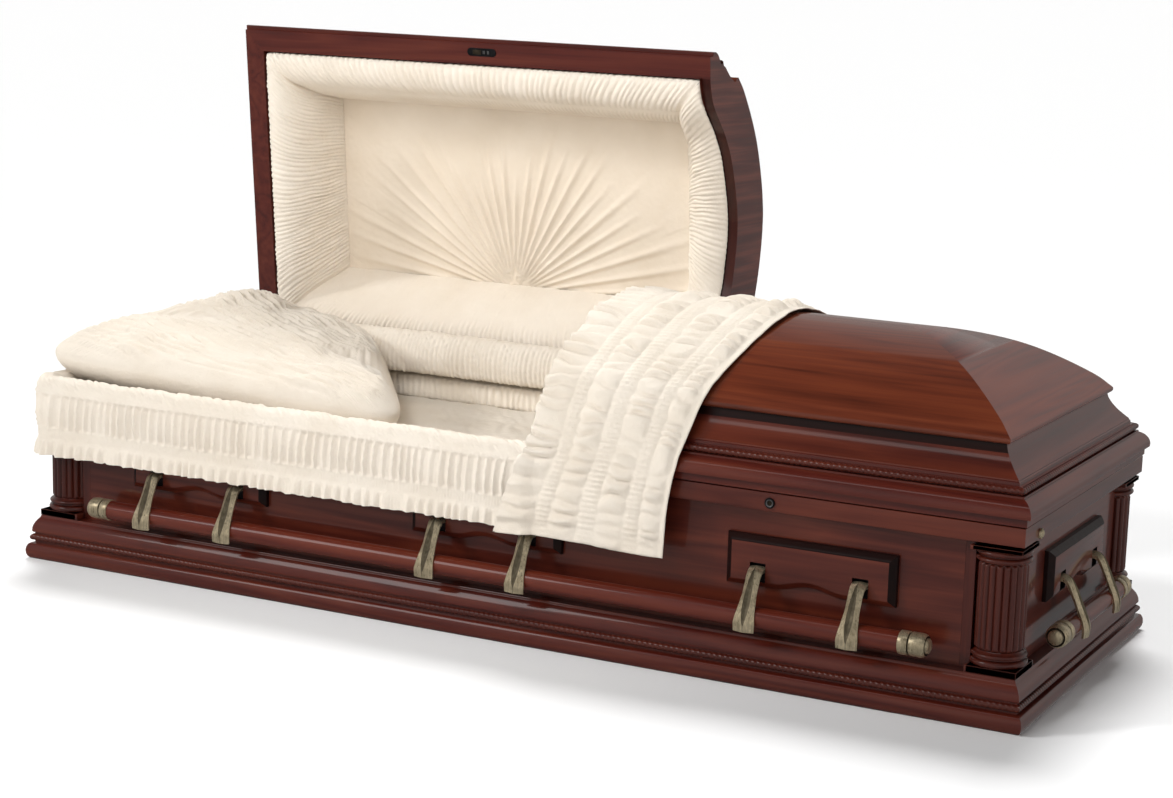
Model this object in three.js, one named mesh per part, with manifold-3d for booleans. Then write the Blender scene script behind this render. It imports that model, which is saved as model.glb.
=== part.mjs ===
// Half-couch wooden casket: glossy mahogany body on a moulded base, fluted corner
// columns, wooden bar handles on brass arms, a closed foot lid with a shirred throw
// over it and an open head lid with a pleated lining.
// Millimetres, +Z up. Origin at the centre of the underside, +X to the foot end,
// -Y the front, +Y the hinge side.
import * as THREE from 'three';
import Module from 'manifold-3d';

const wasm = await Module();
wasm.setup();

// ---------------------------------------------------------------- sizes
const LEN = 994;            // half length of the reference rectangle
const WID = 316;            // half width of the reference rectangle
const FACE = 15;            // body panel faces stand this far outside it
const BASE_TOP = 88;        // top ledge of the base moulding
const BAND_LO = 314, BAND_HI = 347, BAND_OUT = 41;
const PANEL_TOP = 313.7;
const WALL = 20;            // board thickness
const RIM = 349.3;          // underside of the lids
const CUT = 104;            // x of the joint between the lids
const GAP = 0.3;
const POST = 84;            // corner notch depth including the post leg
const NOTCH = 66;           // square recess that holds the column
const COL_IN = -9;          // column axis, from the reference rectangle
const PLATE_X = 649, ARM_X = 96, PLATE_HALF = 159;
const PLATE_LO = 174, PLATE_HI = 265, PLATE_T = 17;
const ARM_TOP = 210, BAR_Z = 128, BAR_OUT = 58, BAR_R = 19;
const BAR_HALF = 888, END_BAR_HALF = 212;
const HINGE_Y = WID + 46, HINGE_Z = 334;
const OPEN = 85;            // degrees that the head lid stands open
const LOCK_X = 575, LOCK_Z = 329;
const KNOB_Y = -278, KNOB_Z = 324;

// ---------------------------------------------------------------- materials
const wood = (name, color, rough = 0.22) =>
  new THREE.MeshStandardMaterial({ name, color, roughness: rough, metalness: 0 });
const MAHOGANY = wood('mahogany', 0x6b2a1c);
const MAHOGANY_LID = wood('mahogany_lid', 0x6b2a1c);
const BRASS = new THREE.MeshStandardMaterial({ name: 'antique_brass', color: 0x8c7b58, roughness: 0.35, metalness: 1 });
const BLACK = new THREE.MeshStandardMaterial({ name: 'black_steel', color: 0x17171a, roughness: 0.4, metalness: 0.8 });
const CREPE = new THREE.MeshStandardMaterial({ name: 'ivory_crepe', color: 0xf3e6d3, roughness: 0.85, metalness: 0 });

// ---------------------------------------------------------------- helpers
function geo(verts, tris) {
  const g = new THREE.BufferGeometry();
  g.setAttribute('position', new THREE.Float32BufferAttribute(verts, 3));
  g.setIndex(tris);
  g.computeVertexNormals();
  return g;
}
function toSolid(g) {
  const pos = g.attributes.position;
  const key = new Map(), map = [], verts = [];
  for (let i = 0; i < pos.count; i++) {
    const p = [pos.getX(i), pos.getY(i), pos.getZ(i)];
    const k = p.map((c) => Math.round(c * 1e4)).join(',');
    if (!key.has(k)) { key.set(k, verts.length / 3); verts.push(...p); }
    map.push(key.get(k));
  }
  const idx = g.index ? Array.from(g.index.array) : [...Array(pos.count).keys()];
  const tris = [];
  for (let i = 0; i < idx.length; i += 3) {
    const a = map[idx[i]], b = map[idx[i + 1]], c = map[idx[i + 2]];
    if (a !== b && b !== c && a !== c) tris.push(a, b, c);
  }
  return new wasm.Manifold(new wasm.Mesh({
    numProp: 3, vertProperties: new Float32Array(verts), triVerts: new Uint32Array(tris),
  }));
}
function fromSolid(m) {
  const mesh = m.getMesh();
  return geo(Array.from(mesh.vertProperties), Array.from(mesh.triVerts));
}
function box(x0, x1, y0, y1, z0, z1) {
  const g = new THREE.BoxGeometry(x1 - x0, y1 - y0, z1 - z0);
  g.translate((x0 + x1) / 2, (y0 + y1) / 2, (z0 + z1) / 2);
  return g;
}
// closed outline in the XY plane raised from z0 to z1
function slab(points, z0, z1) {
  const s = new THREE.Shape(points.map(([x, y]) => new THREE.Vector2(x, y)));
  const g = new THREE.ExtrudeGeometry(s, { depth: z1 - z0, bevelEnabled: false });
  g.translate(0, 0, z0);
  return g;
}
// mitred ring: profile points (o, z) listed anticlockwise, o measured outwards
function ring(profile) {
  const n = profile.length, verts = [], tris = [];
  for (const [o, z] of profile) {
    const x = LEN + o, y = WID + o;
    verts.push(x, -y, z, x, y, z, -x, y, z, -x, -y, z);
  }
  for (let i = 0; i < n; i++) {
    const a = i * 4, b = ((i + 1) % n) * 4;
    for (let s = 0; s < 4; s++) {
      const t = (s + 1) % 4;
      tris.push(a + s, a + t, b + t, a + s, b + t, b + s);
    }
  }
  return geo(verts, tris);
}
// solid under a mitred roof: profile points (half width offset o, z) bottom to top,
// from the cut plane x = cut to the end at LEN + o; the last point is the ridge
function hip(profile, cut, side) {
  const verts = [], tris = [];
  const add = (x, y, z) => { verts.push(x * side, y, z); return verts.length / 3 - 1; };
  const c = cut * side;
  const tri = (a, b, d) => (side > 0 ? tris.push(a, b, d) : tris.push(a, d, b));
  const quad = (a, b, d, e) => { tri(a, b, d); tri(a, d, e); };
  const rows = profile.map(([o, z]) => {
    const w = WID + o;
    if (w < 1e-6) { const p = add(c, 0, z), q = add(LEN + o, 0, z); return [p, q, q, p]; }
    return [add(c, -w, z), add(LEN + o, -w, z), add(LEN + o, w, z), add(c, w, z)];
  });
  for (let i = 0; i < rows.length - 1; i++) {
    const a = rows[i], b = rows[i + 1], last = b[0] === b[3];
    quad(a[0], a[1], b[1], b[0]);
    if (last) tri(a[1], a[2], b[1]); else quad(a[1], a[2], b[2], b[1]);
    quad(a[2], a[3], b[3], b[2]);
    if (last) tri(a[3], a[0], b[0]); else quad(a[3], a[0], b[0], b[3]);
  }
  const f = rows[0];
  quad(f[3], f[2], f[1], f[0]);
  return geo(verts, tris);
}
const group = new THREE.Group();
group.name = 'casket';
function add(parent, name, geometry, material) {
  const m = new THREE.Mesh(geometry.index ? geometry.toNonIndexed() : geometry, material);
  m.geometry.computeVertexNormals();
  m.name = name;
  parent.add(m);
  return m;
}

// ---------------------------------------------------------------- base moulding
const baseProfile = [
  [-24, 0], [52, 0], [57, 3], [60, 9.5], [60, 20], [57, 27], [52, 31.5], [46.5, 33], [46.5, 36.5],
  [51.5, 37.5], [54.5, 40.8], [54.5, 45], [51.5, 48.3], [46.5, 49.5], [46.5, 53], [50.6, 54],
  [50.8, 58], [49.4, 66], [46, 74], [41.5, 80.5], [38.8, 83.5], [38.4, 87], [37, BASE_TOP], [-24, BASE_TOP],
];
add(group, 'base_moulding', ring(baseProfile), MAHOGANY);

// ---------------------------------------------------------------- body boards
const PX = LEN + FACE, PY = WID + FACE;      // panel faces
const z0 = BASE_TOP + GAP;
function sidePanel(y) {
  const s = Math.sign(y), outer = PY, inner = PY - WALL;
  return box(-(PX - POST - GAP), PX - POST - GAP, Math.min(s * outer, s * inner), Math.max(s * outer, s * inner), z0, PANEL_TOP);
}
add(group, 'side_board_front', sidePanel(-1), MAHOGANY);
add(group, 'side_board_back', sidePanel(1), MAHOGANY);
function endPanel(x) {
  const s = Math.sign(x), outer = PX, inner = PX - WALL, w = PY - POST - GAP;
  return box(Math.min(s * outer, s * inner), Math.max(s * outer, s * inner), -w, w, z0, PANEL_TOP);
}
add(group, 'end_board_head', endPanel(-1), MAHOGANY);
add(group, 'end_board_foot', endPanel(1), MAHOGANY);
const FX = LEN - 24 - GAP, FY = WID - 24 - GAP;
add(group, 'floor_board', box(-FX, FX, -FY, FY, 0, 18), MAHOGANY);
add(group, 'top_rail', ring([
  [FACE - WALL, BAND_LO], [BAND_OUT - 1, BAND_LO], [BAND_OUT, BAND_LO + 1], [BAND_OUT, BAND_HI - 1.5],
  [BAND_OUT - 1.5, BAND_HI], [FACE - WALL, BAND_HI],
]), MAHOGANY);

// ---------------------------------------------------------------- corners
// fluted shaft outline: flats and shallow hollows
function shaftOutline(cx, cy, r, n) {
  const pts = [];
  for (let i = 0; i < n; i++) {
    const a = (i / n) * Math.PI * 2, b = ((i + 0.5) / n) * Math.PI * 2;
    pts.push([cx + Math.cos(a) * r, cy + Math.sin(a) * r], [cx + Math.cos(b) * (r - 3.5), cy + Math.sin(b) * (r - 3.5)]);
  }
  return pts;
}
for (const [ex, xn] of [[-1, 'head'], [1, 'foot']]) {
  for (const [ey, yn] of [[-1, 'front'], [1, 'back']]) {
    const X = (a) => ex * (PX - a), Y = (b) => ey * (PY - b);
    const pts = [[NOTCH, 0], [POST, 0], [POST, POST], [0, POST], [0, NOTCH], [NOTCH, NOTCH]].map(([a, b]) => [X(a), Y(b)]);
    if (ex * ey < 0) pts.reverse();
    add(group, `corner_post_${xn}_${yn}`, slab(pts, z0, PANEL_TOP), MAHOGANY);
    const cx = ex * (LEN + COL_IN), cy = ey * (WID + COL_IN);
    const S = 92;
    const block = (out, lo, hi) => toSolid(box(
      Math.min(ex * (LEN + out), ex * (LEN + out - S)), Math.max(ex * (LEN + out), ex * (LEN + out - S)),
      Math.min(ey * (WID + out), ey * (WID + out - S)), Math.max(ey * (WID + out), ey * (WID + out - S)), lo, hi));
    const turned = new THREE.LatheGeometry([
      [0, 100], [47, 100], [49.5, 104], [49.5, 109], [46, 112], [46, 114], [48, 117], [48, 121], [45, 124], [43, 128],
      [43, 276], [45, 279], [48, 282], [48, 286], [45.5, 288], [45.5, 290], [48, 292], [48, 297], [46, 300], [0, 300],
    ].map(([r, z]) => new THREE.Vector2(r, z)), 14);
    turned.rotateX(Math.PI / 2);
    turned.translate(cx, cy, 0);
    // the square recess limits how far each block reaches into the corner
    const recess = toSolid(box(
      Math.min(ex * (PX - NOTCH + GAP), ex * 1100), Math.max(ex * (PX - NOTCH + GAP), ex * 1100),
      Math.min(ey * (PY - NOTCH + GAP), ey * 500), Math.max(ey * (PY - NOTCH + GAP), ey * 500), 80, 320));
    const front = toSolid(box(
      Math.min(ex * (LEN - 80), ex * 1100), Math.max(ex * (LEN - 80), ex * 1100),
      Math.min(ey * (WID - 80), ey * 500), Math.max(ey * (WID - 80), ey * 500), 80, 320))
      .subtract(toSolid(box(
        Math.min(ex * (PX + GAP), 0), Math.max(ex * (PX + GAP), 0),
        Math.min(ey * (PY + GAP), 0), Math.max(ey * (PY + GAP), 0), 70, 330)));
    const room = recess.add(front);
    const column = block(38.4, z0, 100.8).add(block(37.4, 299, 307)).add(toSolid(turned)).intersect(room);
    add(group, `corner_column_${xn}_${yn}`, fromSolid(column), MAHOGANY);
  }
}

// ---------------------------------------------------------------- handles
// plate outline with a low arch in its lower edge, bevelled rim
function plateGeometry() {
  const h = PLATE_HALF, lo = PLATE_LO, hi = PLATE_HI, arch = [];
  for (let i = 0; i <= 8; i++) {
    const t = i / 8, x = -58 + 116 * t;
    arch.push([x, lo + 10 * Math.sin(Math.PI * t) ** 1]);
  }
  const outline = [[-h, lo], ...arch, [h, lo], [h, hi], [-h, hi]];
  const s = new THREE.Shape(outline.map(([x, y]) => new THREE.Vector2(x, y)));
  const g = new THREE.ExtrudeGeometry(s, { depth: PLATE_T, bevelEnabled: false });
  g.rotateX(Math.PI / 2);   // depth now runs to -y, outwards
  return g;
}
// pockets in a plate for the arm tops
const PLATE = (() => {
  let m = toSolid(plateGeometry());
  for (const s of [-1, 1]) {
    m = m.subtract(toSolid(box(ARM_X * s - 15, ARM_X * s + 15, -PLATE_T - 5, -PLATE_T + 13, ARM_TOP - 28, ARM_TOP + 8)));
  }
  return m;
})();
// one arm: a bent bar that leaves the pocket, swells outwards and grips the bar
function armSolid() {
  const o = (v) => -v;   // y relative to the plate face at 0, outwards negative
  const side = [        // (out from the plate's back plane, z, half width)
    [11, ARM_TOP, 11], [22, ARM_TOP - 2, 11.5], [37, ARM_TOP - 16, 11], [49, ARM_TOP - 34, 12], [60, ARM_TOP - 54, 14.5],
    [69, ARM_TOP - 74, 16.5], [69, ARM_TOP - 94, 17], [60, ARM_TOP - 104, 16],
  ];
  const inner = [
    [10, ARM_TOP - 9, 11], [14, ARM_TOP - 16, 11.5], [21, ARM_TOP - 28, 11], [29, ARM_TOP - 42, 12], [37, ARM_TOP - 56, 14.5],
    [41, ARM_TOP - 74, 16.5], [41, ARM_TOP - 92, 17], [41, ARM_TOP - 103, 16],
  ];
  const verts = [], tris = [];
  for (let i = 0; i < side.length; i++) {
    const [a, za, w] = side[i], [b, zb] = inner[i];
    verts.push(-w, o(a), za, w, o(a), za, w, o(b), zb, -w, o(b), zb);
  }
  const n = side.length;
  for (let i = 0; i < n - 1; i++) {
    const a = i * 4, b = a + 4;
    for (let s = 0; s < 4; s++) { const t = (s + 1) % 4; tris.push(a + s, b + s, b + t, a + s, b + t, a + t); }
  }
  tris.push(0, 1, 2, 0, 2, 3);
  const e = (n - 1) * 4;
  tris.push(e, e + 2, e + 1, e, e + 3, e + 2);
  return toSolid(geo(verts, tris));
}
const ARM0 = armSolid();
function rod(r, x0, x1, n) {
  const pts = [];
  for (let i = 0; i < n; i++) { const a = ((i + 0.5) / n) * Math.PI * 2; pts.push([Math.cos(a) * r, Math.sin(a) * r]); }
  const g = slab(pts, x0, x1);
  g.rotateY(Math.PI / 2);
  return toSolid(g);
}
// place a local handle part (x along, y outwards negative from the panel, z up)
function place(m, turn, x, panel) {
  // turn: 0 front, 1 foot, 2 back, 3 head
  return m.translate([x, -panel - GAP, 0]).rotate([0, 0, turn * 90]);
}
const sets = [
  ['front', 0, PY, [-PLATE_X, 0, PLATE_X], BAR_HALF],
  ['foot', 1, PX, [0], END_BAR_HALF],
  ['back', 2, PY, [-PLATE_X, 0, PLATE_X], BAR_HALF],
  ['head', 3, PX, [0], END_BAR_HALF],
];
for (const [name, turn, panel, centres, half] of sets) {
  const bar0 = rod(BAR_R, -half + 50, half - 50, 12)
    .add(rod(BAR_R + 1.5, -half + 3, -half + 54, 12)).add(rod(BAR_R - 3, -half, -half + 10, 12))
    .add(rod(BAR_R + 1.5, half - 54, half - 3, 12)).add(rod(BAR_R - 3, half - 10, half, 12))
    .translate([0, -(BAR_OUT - FACE), BAR_Z]);
  const clear = rod(BAR_R + 0.35, -half, half, 12).translate([0, -(BAR_OUT - FACE), BAR_Z]);
  const armNode = ARM0.subtract(clear);
  add(group, `handle_bar_${name}`, fromSolid(place(bar0, turn, 0, panel)), MAHOGANY);
  centres.forEach((c, i) => {
    const tag = centres.length > 1 ? `${name}_${i + 1}` : name;
    add(group, `handle_plate_${tag}`, fromSolid(place(PLATE, turn, c, panel)), MAHOGANY);
    for (const s of [-1, 1]) {
      add(group, `handle_arm_${tag}_${s < 0 ? 'left' : 'right'}`, fromSolid(place(armNode.translate([s * ARM_X, 0, 0]), turn, c, panel)), BRASS);
    }
  });
}

// ---------------------------------------------------------------- lock and end cap
function disc(r, d, n, turn, at) {
  const pts = [];
  for (let i = 0; i < n; i++) { const a = ((i + 0.5) / n) * Math.PI * 2; pts.push([Math.cos(a) * r, Math.sin(a) * r]); }
  const g = slab(pts, 0, d);
  g.rotateX(Math.PI / 2);           // depth towards -y
  g.rotateZ(turn * Math.PI / 2);
  g.translate(...at);
  return g;
}
add(group, 'lid_lock', disc(9.5, 3, 12, 0, [LOCK_X, -(WID + BAND_OUT + GAP), LOCK_Z]), BLACK);
add(group, 'end_knob', disc(9, 7, 12, 1, [LEN + BAND_OUT + GAP, KNOB_Y, KNOB_Z]), BRASS);

// ---------------------------------------------------------------- lids
const lidOuter = [
  [43, RIM], [43, 361.5], [50, 363], [50.5, 370], [47.5, 380], [42, 388], [36, 393], [31, 394.5], [30, 398],
  [29.5, 402], [28, 407], [24, 410.5], [18.5, 412], [16.5, 416], [15, 422], [-3, 440.5], [-20.5, 465.5], [-20.3, 471],
  [-15, 472.5], [-13, 478], [-16, 485], [-43, 508], [-100, 544.5], [-154, 571], [-210, 589], [-263, 601], [-WID, 606],
];
const lidInner = [
  [-2, RIM - 5], [-2, RIM], [-4, 395], [-28, 432], [-42, 462], [-66, 486], [-118, 521], [-172, 547], [-236, 567], [-WID, 578],
];
function lidSolid(cut, side) {
  const outer = toSolid(hip(lidOuter, cut, side));
  // the recess runs through the cut end and stops short of the moulded end
  const inner = toSolid(hip(lidInner, cut - side * 10, side));
  return outer.subtract(inner);
}
// foot lid, closed
add(group, 'foot_lid', fromSolid(lidSolid(CUT + 0.6, 1)), MAHOGANY_LID);

// head lid, built closed and turned open about the hinge line
const headLid = new THREE.Group();
headLid.name = 'head_lid_group';
headLid.position.set(0, HINGE_Y, HINGE_Z);
headLid.rotation.x = THREE.MathUtils.degToRad(-OPEN);
group.add(headLid);
function addLid(name, geometry, material) {
  geometry.translate(0, -HINGE_Y, -HINGE_Z);
  return add(headLid, name, geometry, material);
}
addLid('head_lid', fromSolid(lidSolid(CUT - 0.6, -1)), MAHOGANY_LID);
addLid('lid_latch_plate', box(-466, -396, -(WID + 33), -(WID + 16), RIM - 1.8, RIM - GAP), BLACK);

// hinge rods along the back rim
function hingeRod(x0, x1) {
  const pts = [];
  for (let i = 0; i < 8; i++) { const a = ((i + 0.5) / 8) * Math.PI * 2; pts.push([Math.cos(a) * 2.6, Math.sin(a) * 2.6]); }
  const g = slab(pts, x0, x1);
  g.rotateY(Math.PI / 2);
  g.translate(0, HINGE_Y, HINGE_Z);
  return g;
}
add(group, 'hinge_head', hingeRod(-960, CUT - 30), BRASS);
add(group, 'hinge_foot', hingeRod(CUT + 30, 960), BRASS);

// ---------------------------------------------------------------- lid lining
// flat pleated panel in the roof of the head lid
const LX0 = -(LEN - 6), LX1 = CUT - 46, PANEL_Z = 497;
addLid('lid_cap_panel', box(LX0 + 96, LX1 - 76, -(WID - 118), WID - 128, PANEL_Z, PANEL_Z + 6), CREPE);
// puffed border: a frame with sloping inner faces round the panel
function frame(xa, xb, ya, yb, ia, ib, ja, jb, lo, mid, hi) {
  // outer rectangle x xa..xb, y ya..yb; inner rectangle x ia..ib, y ja..jb
  const outer = [[xa, ya], [xb, ya], [xb, yb], [xa, yb]];
  const inner = [[ia, ja], [ib, ja], [ib, jb], [ia, jb]];
  const prof = [];
  const mixp = (o, i, t) => [o[0] + (i[0] - o[0]) * t, o[1] + (i[1] - o[1]) * t];
  const sect = [[0, lo + 14], [0.14, lo], [0.45, lo + 6], [0.8, mid], [1, hi - 6], [0.98, hi], [0.65, hi - 20], [0.38, hi - 46], [0.24, hi - 74], [0, hi - 112]];
  const verts = [], tris = [];
  for (const [t, z] of sect) for (let k = 0; k < 4; k++) { const q = mixp(outer[k], inner[k], t); verts.push(q[0], q[1], z); }
  const n = sect.length;
  for (let i = 0; i < n; i++) {
    const a = i * 4, b = ((i + 1) % n) * 4;
    for (let s = 0; s < 4; s++) { const t = (s + 1) % 4; tris.push(a + s, b + t, a + t, a + s, b + s, b + t); }
  }
  return geo(verts, tris);
}
addLid('lid_border', frame(LX0 + 1, LX1, -(WID - 7), WID - 132, LX0 + 92, LX1 - 72, -(WID - 114), WID - 136, 356, 420, 496), CREPE);
// smooth roll along the hinge side
function roll(x0, x1, cy, cz, ry, rz, n = 14) {
  const pts = [];
  for (let i = 0; i < n; i++) { const a = (i / n) * Math.PI * 2; pts.push([cz + Math.cos(a) * rz, cy + Math.sin(a) * ry]); }
  // slab outline (x -> z, y -> y), raised along x
  const g = slab(pts.map(([z, y]) => [-z, y]), x0, x1);
  g.rotateY(Math.PI / 2);
  return g;
}
addLid('lid_hinge_roll', roll(LX0 + 42, LX1 - 4, WID - 74, 397, 50, 38), CREPE);

// ---------------------------------------------------------------- body lining
const IX = PX - POST - 4, IYW = PY - WALL - 2;
const BED = 292;
add(group, 'mattress', box(-IX + 24, IX - 4, -(IYW - 22), IYW - 22, 18 + GAP, BED), CREPE);
add(group, 'lining_walls', slab([
  [-IX, -IYW], [IX, -IYW], [IX, -IYW + 20], [-IX + 20, -IYW + 20], [-IX + 20, IYW - 20], [IX, IYW - 20], [IX, IYW], [-IX, IYW],
], z0 + 17, 345), CREPE);
add(group, 'lining_roll_back', roll(-(LEN - 20), CUT - 6, WID - 43, 372, 32, 24), CREPE);

// pillow: a plump cushion propped on the head end
function cushion(w, d, h, nu, nv) {
  const verts = [], tris = [];
  const P = (u, v, s) => {
    const f = Math.pow(Math.max(0, 1 - Math.pow(Math.abs(u), 2.6)) * Math.max(0, 1 - Math.pow(Math.abs(v), 2.6)), 0.5);
    const k = 1 - 0.05 * (1 - f);
    return [u * w / 2 * k, v * d / 2 * k, s * h / 2 * f];
  };
  const top = [], bot = [];
  for (let i = 0; i <= nu; i++) {
    top.push([]); bot.push([]);
    for (let j = 0; j <= nv; j++) {
      const u = -1 + 2 * i / nu, v = -1 + 2 * j / nv, edge = i === 0 || j === 0 || i === nu || j === nv;
      const a = P(u, v, 1); verts.push(...a); const ia = verts.length / 3 - 1;
      let ib = ia;
      if (!edge) { verts.push(...P(u, v, -1)); ib = verts.length / 3 - 1; }
      top[i].push(ia); bot[i].push(ib);
    }
  }
  for (let i = 0; i < nu; i++) for (let j = 0; j < nv; j++) {
    tris.push(top[i][j], top[i + 1][j], top[i + 1][j + 1], top[i][j], top[i + 1][j + 1], top[i][j + 1]);
    tris.push(bot[i][j], bot[i + 1][j + 1], bot[i + 1][j], bot[i][j], bot[i][j + 1], bot[i + 1][j + 1]);
  }
  return geo(verts, tris);
}
const pillow = cushion(660, 510, 120, 10, 10);
pillow.rotateY(THREE.MathUtils.degToRad(12));
pillow.translate(-645, -28, 392);
add(group, 'pillow', pillow, CREPE);

// skirt over the front rim, hanging outside the body
function strip(outline, x0, x1) {
  // outline points (y, z) anticlockwise seen from +x
  const g = slab(outline.map(([y, z]) => [-z, y]), x0, x1);
  g.rotateY(Math.PI / 2);
  return g;
}
const SK = WID + BAND_OUT;
add(group, 'skirt', strip([
  [-(SK + 16), 222], [-(SK + 4), 222], [-(SK + 3), BAND_HI + 2], [-(WID - 2), BAND_HI + 2], [-(WID - 2), BAND_HI + 12],
  [-(SK - 20), BAND_HI + 27], [-(SK + 8), BAND_HI + 20], [-(SK + 15), BAND_HI - 4], [-(SK + 19), 300], [-(SK + 19), 240],
], -(LEN + 40), CUT - 8), CREPE);

// throw over the foot lid, next to the joint between the lids
const over = [
  [56, 214], [55, 372], [50, 388], [36, 400], [34, 412], [20, 424], [-8, 474], [-9, 484], [-38, 511], [-98, 548], [-153, 575],
  [-209, 593], [-262, 605], [-WID, 610],
];
const thick = [
  [66, 212], [65, 374], [60, 394], [46, 408], [43, 420], [29, 432], [1, 478], [0, 490], [-32, 520], [-93, 557], [-149, 584],
  [-206, 602], [-261, 614], [-WID, 619],
];
const backEnd = 11;
const lower = [...over.map(([o, z]) => [-(WID + o), z]), ...over.slice(7, 13).reverse().map(([o, z]) => [WID + o, z])];
const upper = [...thick.map(([o, z]) => [-(WID + o), z]), ...thick.slice(7, 13).reverse().map(([o, z]) => [WID + o, z])];
add(group, 'throw', strip([...upper, ...lower.reverse()], CUT + 1, 430), CREPE);

export default group;
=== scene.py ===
import bpy
import bmesh
import math
import numpy as np
from mathutils import Matrix, Vector


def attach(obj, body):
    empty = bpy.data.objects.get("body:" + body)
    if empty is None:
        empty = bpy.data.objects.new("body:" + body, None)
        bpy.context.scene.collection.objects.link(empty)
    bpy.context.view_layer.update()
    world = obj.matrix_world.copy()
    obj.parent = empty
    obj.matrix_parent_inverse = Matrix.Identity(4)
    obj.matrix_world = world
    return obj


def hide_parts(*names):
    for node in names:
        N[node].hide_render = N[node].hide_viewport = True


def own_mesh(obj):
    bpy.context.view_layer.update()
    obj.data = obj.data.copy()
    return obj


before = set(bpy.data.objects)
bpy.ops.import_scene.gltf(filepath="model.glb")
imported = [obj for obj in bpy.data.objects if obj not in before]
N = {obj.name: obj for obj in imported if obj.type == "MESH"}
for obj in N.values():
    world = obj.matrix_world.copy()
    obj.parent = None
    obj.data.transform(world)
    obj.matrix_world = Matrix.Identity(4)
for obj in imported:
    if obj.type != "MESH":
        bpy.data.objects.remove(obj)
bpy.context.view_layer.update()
scene = bpy.context.scene

# ------------------------------------------------------------------ sizes, millimetres
LEN, WID = 994.0, 316.0
PX, PY = 1009.0, 331.0
CUT = 104.0
RIM = 349.3
HINGE_Y, HINGE_Z, OPEN = 362.0, 334.0, 85.0
PLATE_LO, PLATE_HI, PLATE_T, PLATE_HALF, PLATE_X, ARM_X = 174.0, 265.0, 17.0, 159.0, 649.0, 96.0
BAR_Z, BAR_HALF, END_BAR_HALF = 128.0, 888.0, 212.0
KNOB_Y, KNOB_Z, LOCK_X, LOCK_Z = -278.0, 324.0, 575.0, 329.0
MM = 0.001

# ------------------------------------------------------------------ camera
cam_data = bpy.data.cameras.new("camera")
cam = bpy.data.objects.new("camera", cam_data)
scene.collection.objects.link(cam)
scene.camera = cam
FOCAL_PX, CX = 2277.755, 780.0
right = Vector((0.9107231, 0.4107587, 0.0431357))
down = Vector((0.1131562, -0.1477061, -0.9825368))
fwd = Vector((-0.3972141, 0.8997001, -0.1809993))
rot = Matrix((right, -down, -fwd)).transposed()
cam.rotation_mode = "QUATERNION"
cam.rotation_quaternion = rot.to_quaternion()
cam.location = Vector((2.12316, -3.84021, 1.21271))
cam_data.sensor_width = 36.0
cam_data.lens = FOCAL_PX * 36.0 / 1173.0
cam_data.shift_x = (586.5 - CX) / 1173.0
cam_data.shift_y = 0.0
cam_data.clip_start, cam_data.clip_end = 0.05, 9000.0


# ------------------------------------------------------------------ noise and mesh helpers
def _hash(ix, iy, seed):
    h = (ix.astype(np.int64) * 374761393 + iy.astype(np.int64) * 668265263 + int(seed) * 974634777) & 0xFFFFFFFF
    h = ((h ^ (h >> 13)) * 1274126177) & 0xFFFFFFFF
    return ((h ^ (h >> 16)) & 0xFFFF) / 32767.5 - 1.0


def noise2(x, y, seed=0):
    x, y = np.broadcast_arrays(np.asarray(x, float), np.asarray(y, float))
    x0, y0 = np.floor(x), np.floor(y)
    fx, fy = x - x0, y - y0
    fx, fy = fx * fx * (3 - 2 * fx), fy * fy * (3 - 2 * fy)
    a, b = _hash(x0, y0, seed), _hash(x0 + 1, y0, seed)
    c, d = _hash(x0, y0 + 1, seed), _hash(x0 + 1, y0 + 1, seed)
    return (a * (1 - fx) + b * fx) * (1 - fy) + (c * (1 - fx) + d * fx) * fy


def smoothstep(a, b, x):
    t = np.clip((np.asarray(x, float) - a) / (b - a), 0, 1)
    return t * t * (3 - 2 * t)


def band(x, a, b, soft):
    return smoothstep(a - soft, a + soft, x) * (1 - smoothstep(b - soft, b + soft, x))


def catmull(points, n=8, closed=False):
    p = np.array(points, float)
    out = []
    m = len(p)
    for i in range(m - 1):
        p0, p1, p2, p3 = p[max(i - 1, 0)], p[i], p[i + 1], p[min(i + 2, m - 1)]
        for k in range(n):
            t = k / n
            out.append(0.5 * ((2 * p1) + (-p0 + p2) * t + (2 * p0 - 5 * p1 + 4 * p2 - p3) * t * t + (-p0 + 3 * p1 - 3 * p2 + p3) * t ** 3))
    out.append(p[-1])
    return [tuple(q) for q in out]


def arc(cx, cy, rx, ry, a0, a1, n):
    return [(cx + rx * math.cos(math.radians(a0 + (a1 - a0) * i / n)), cy + ry * math.sin(math.radians(a0 + (a1 - a0) * i / n))) for i in range(n + 1)]


def grid_faces(nu, nv, cu=False, cv=False, flip=False):
    a = np.arange(nu * nv).reshape(nu, nv)
    A, B = (a, np.roll(a, -1, 0)) if cu else (a[:-1], a[1:])
    if cv:
        q = np.stack([A, B, np.roll(B, -1, 1), np.roll(A, -1, 1)], -1)
    else:
        q = np.stack([A[:, :-1], B[:, :-1], B[:, 1:], A[:, 1:]], -1)
    q = q.reshape(-1, 4)
    return q[:, ::-1] if flip else q


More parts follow.
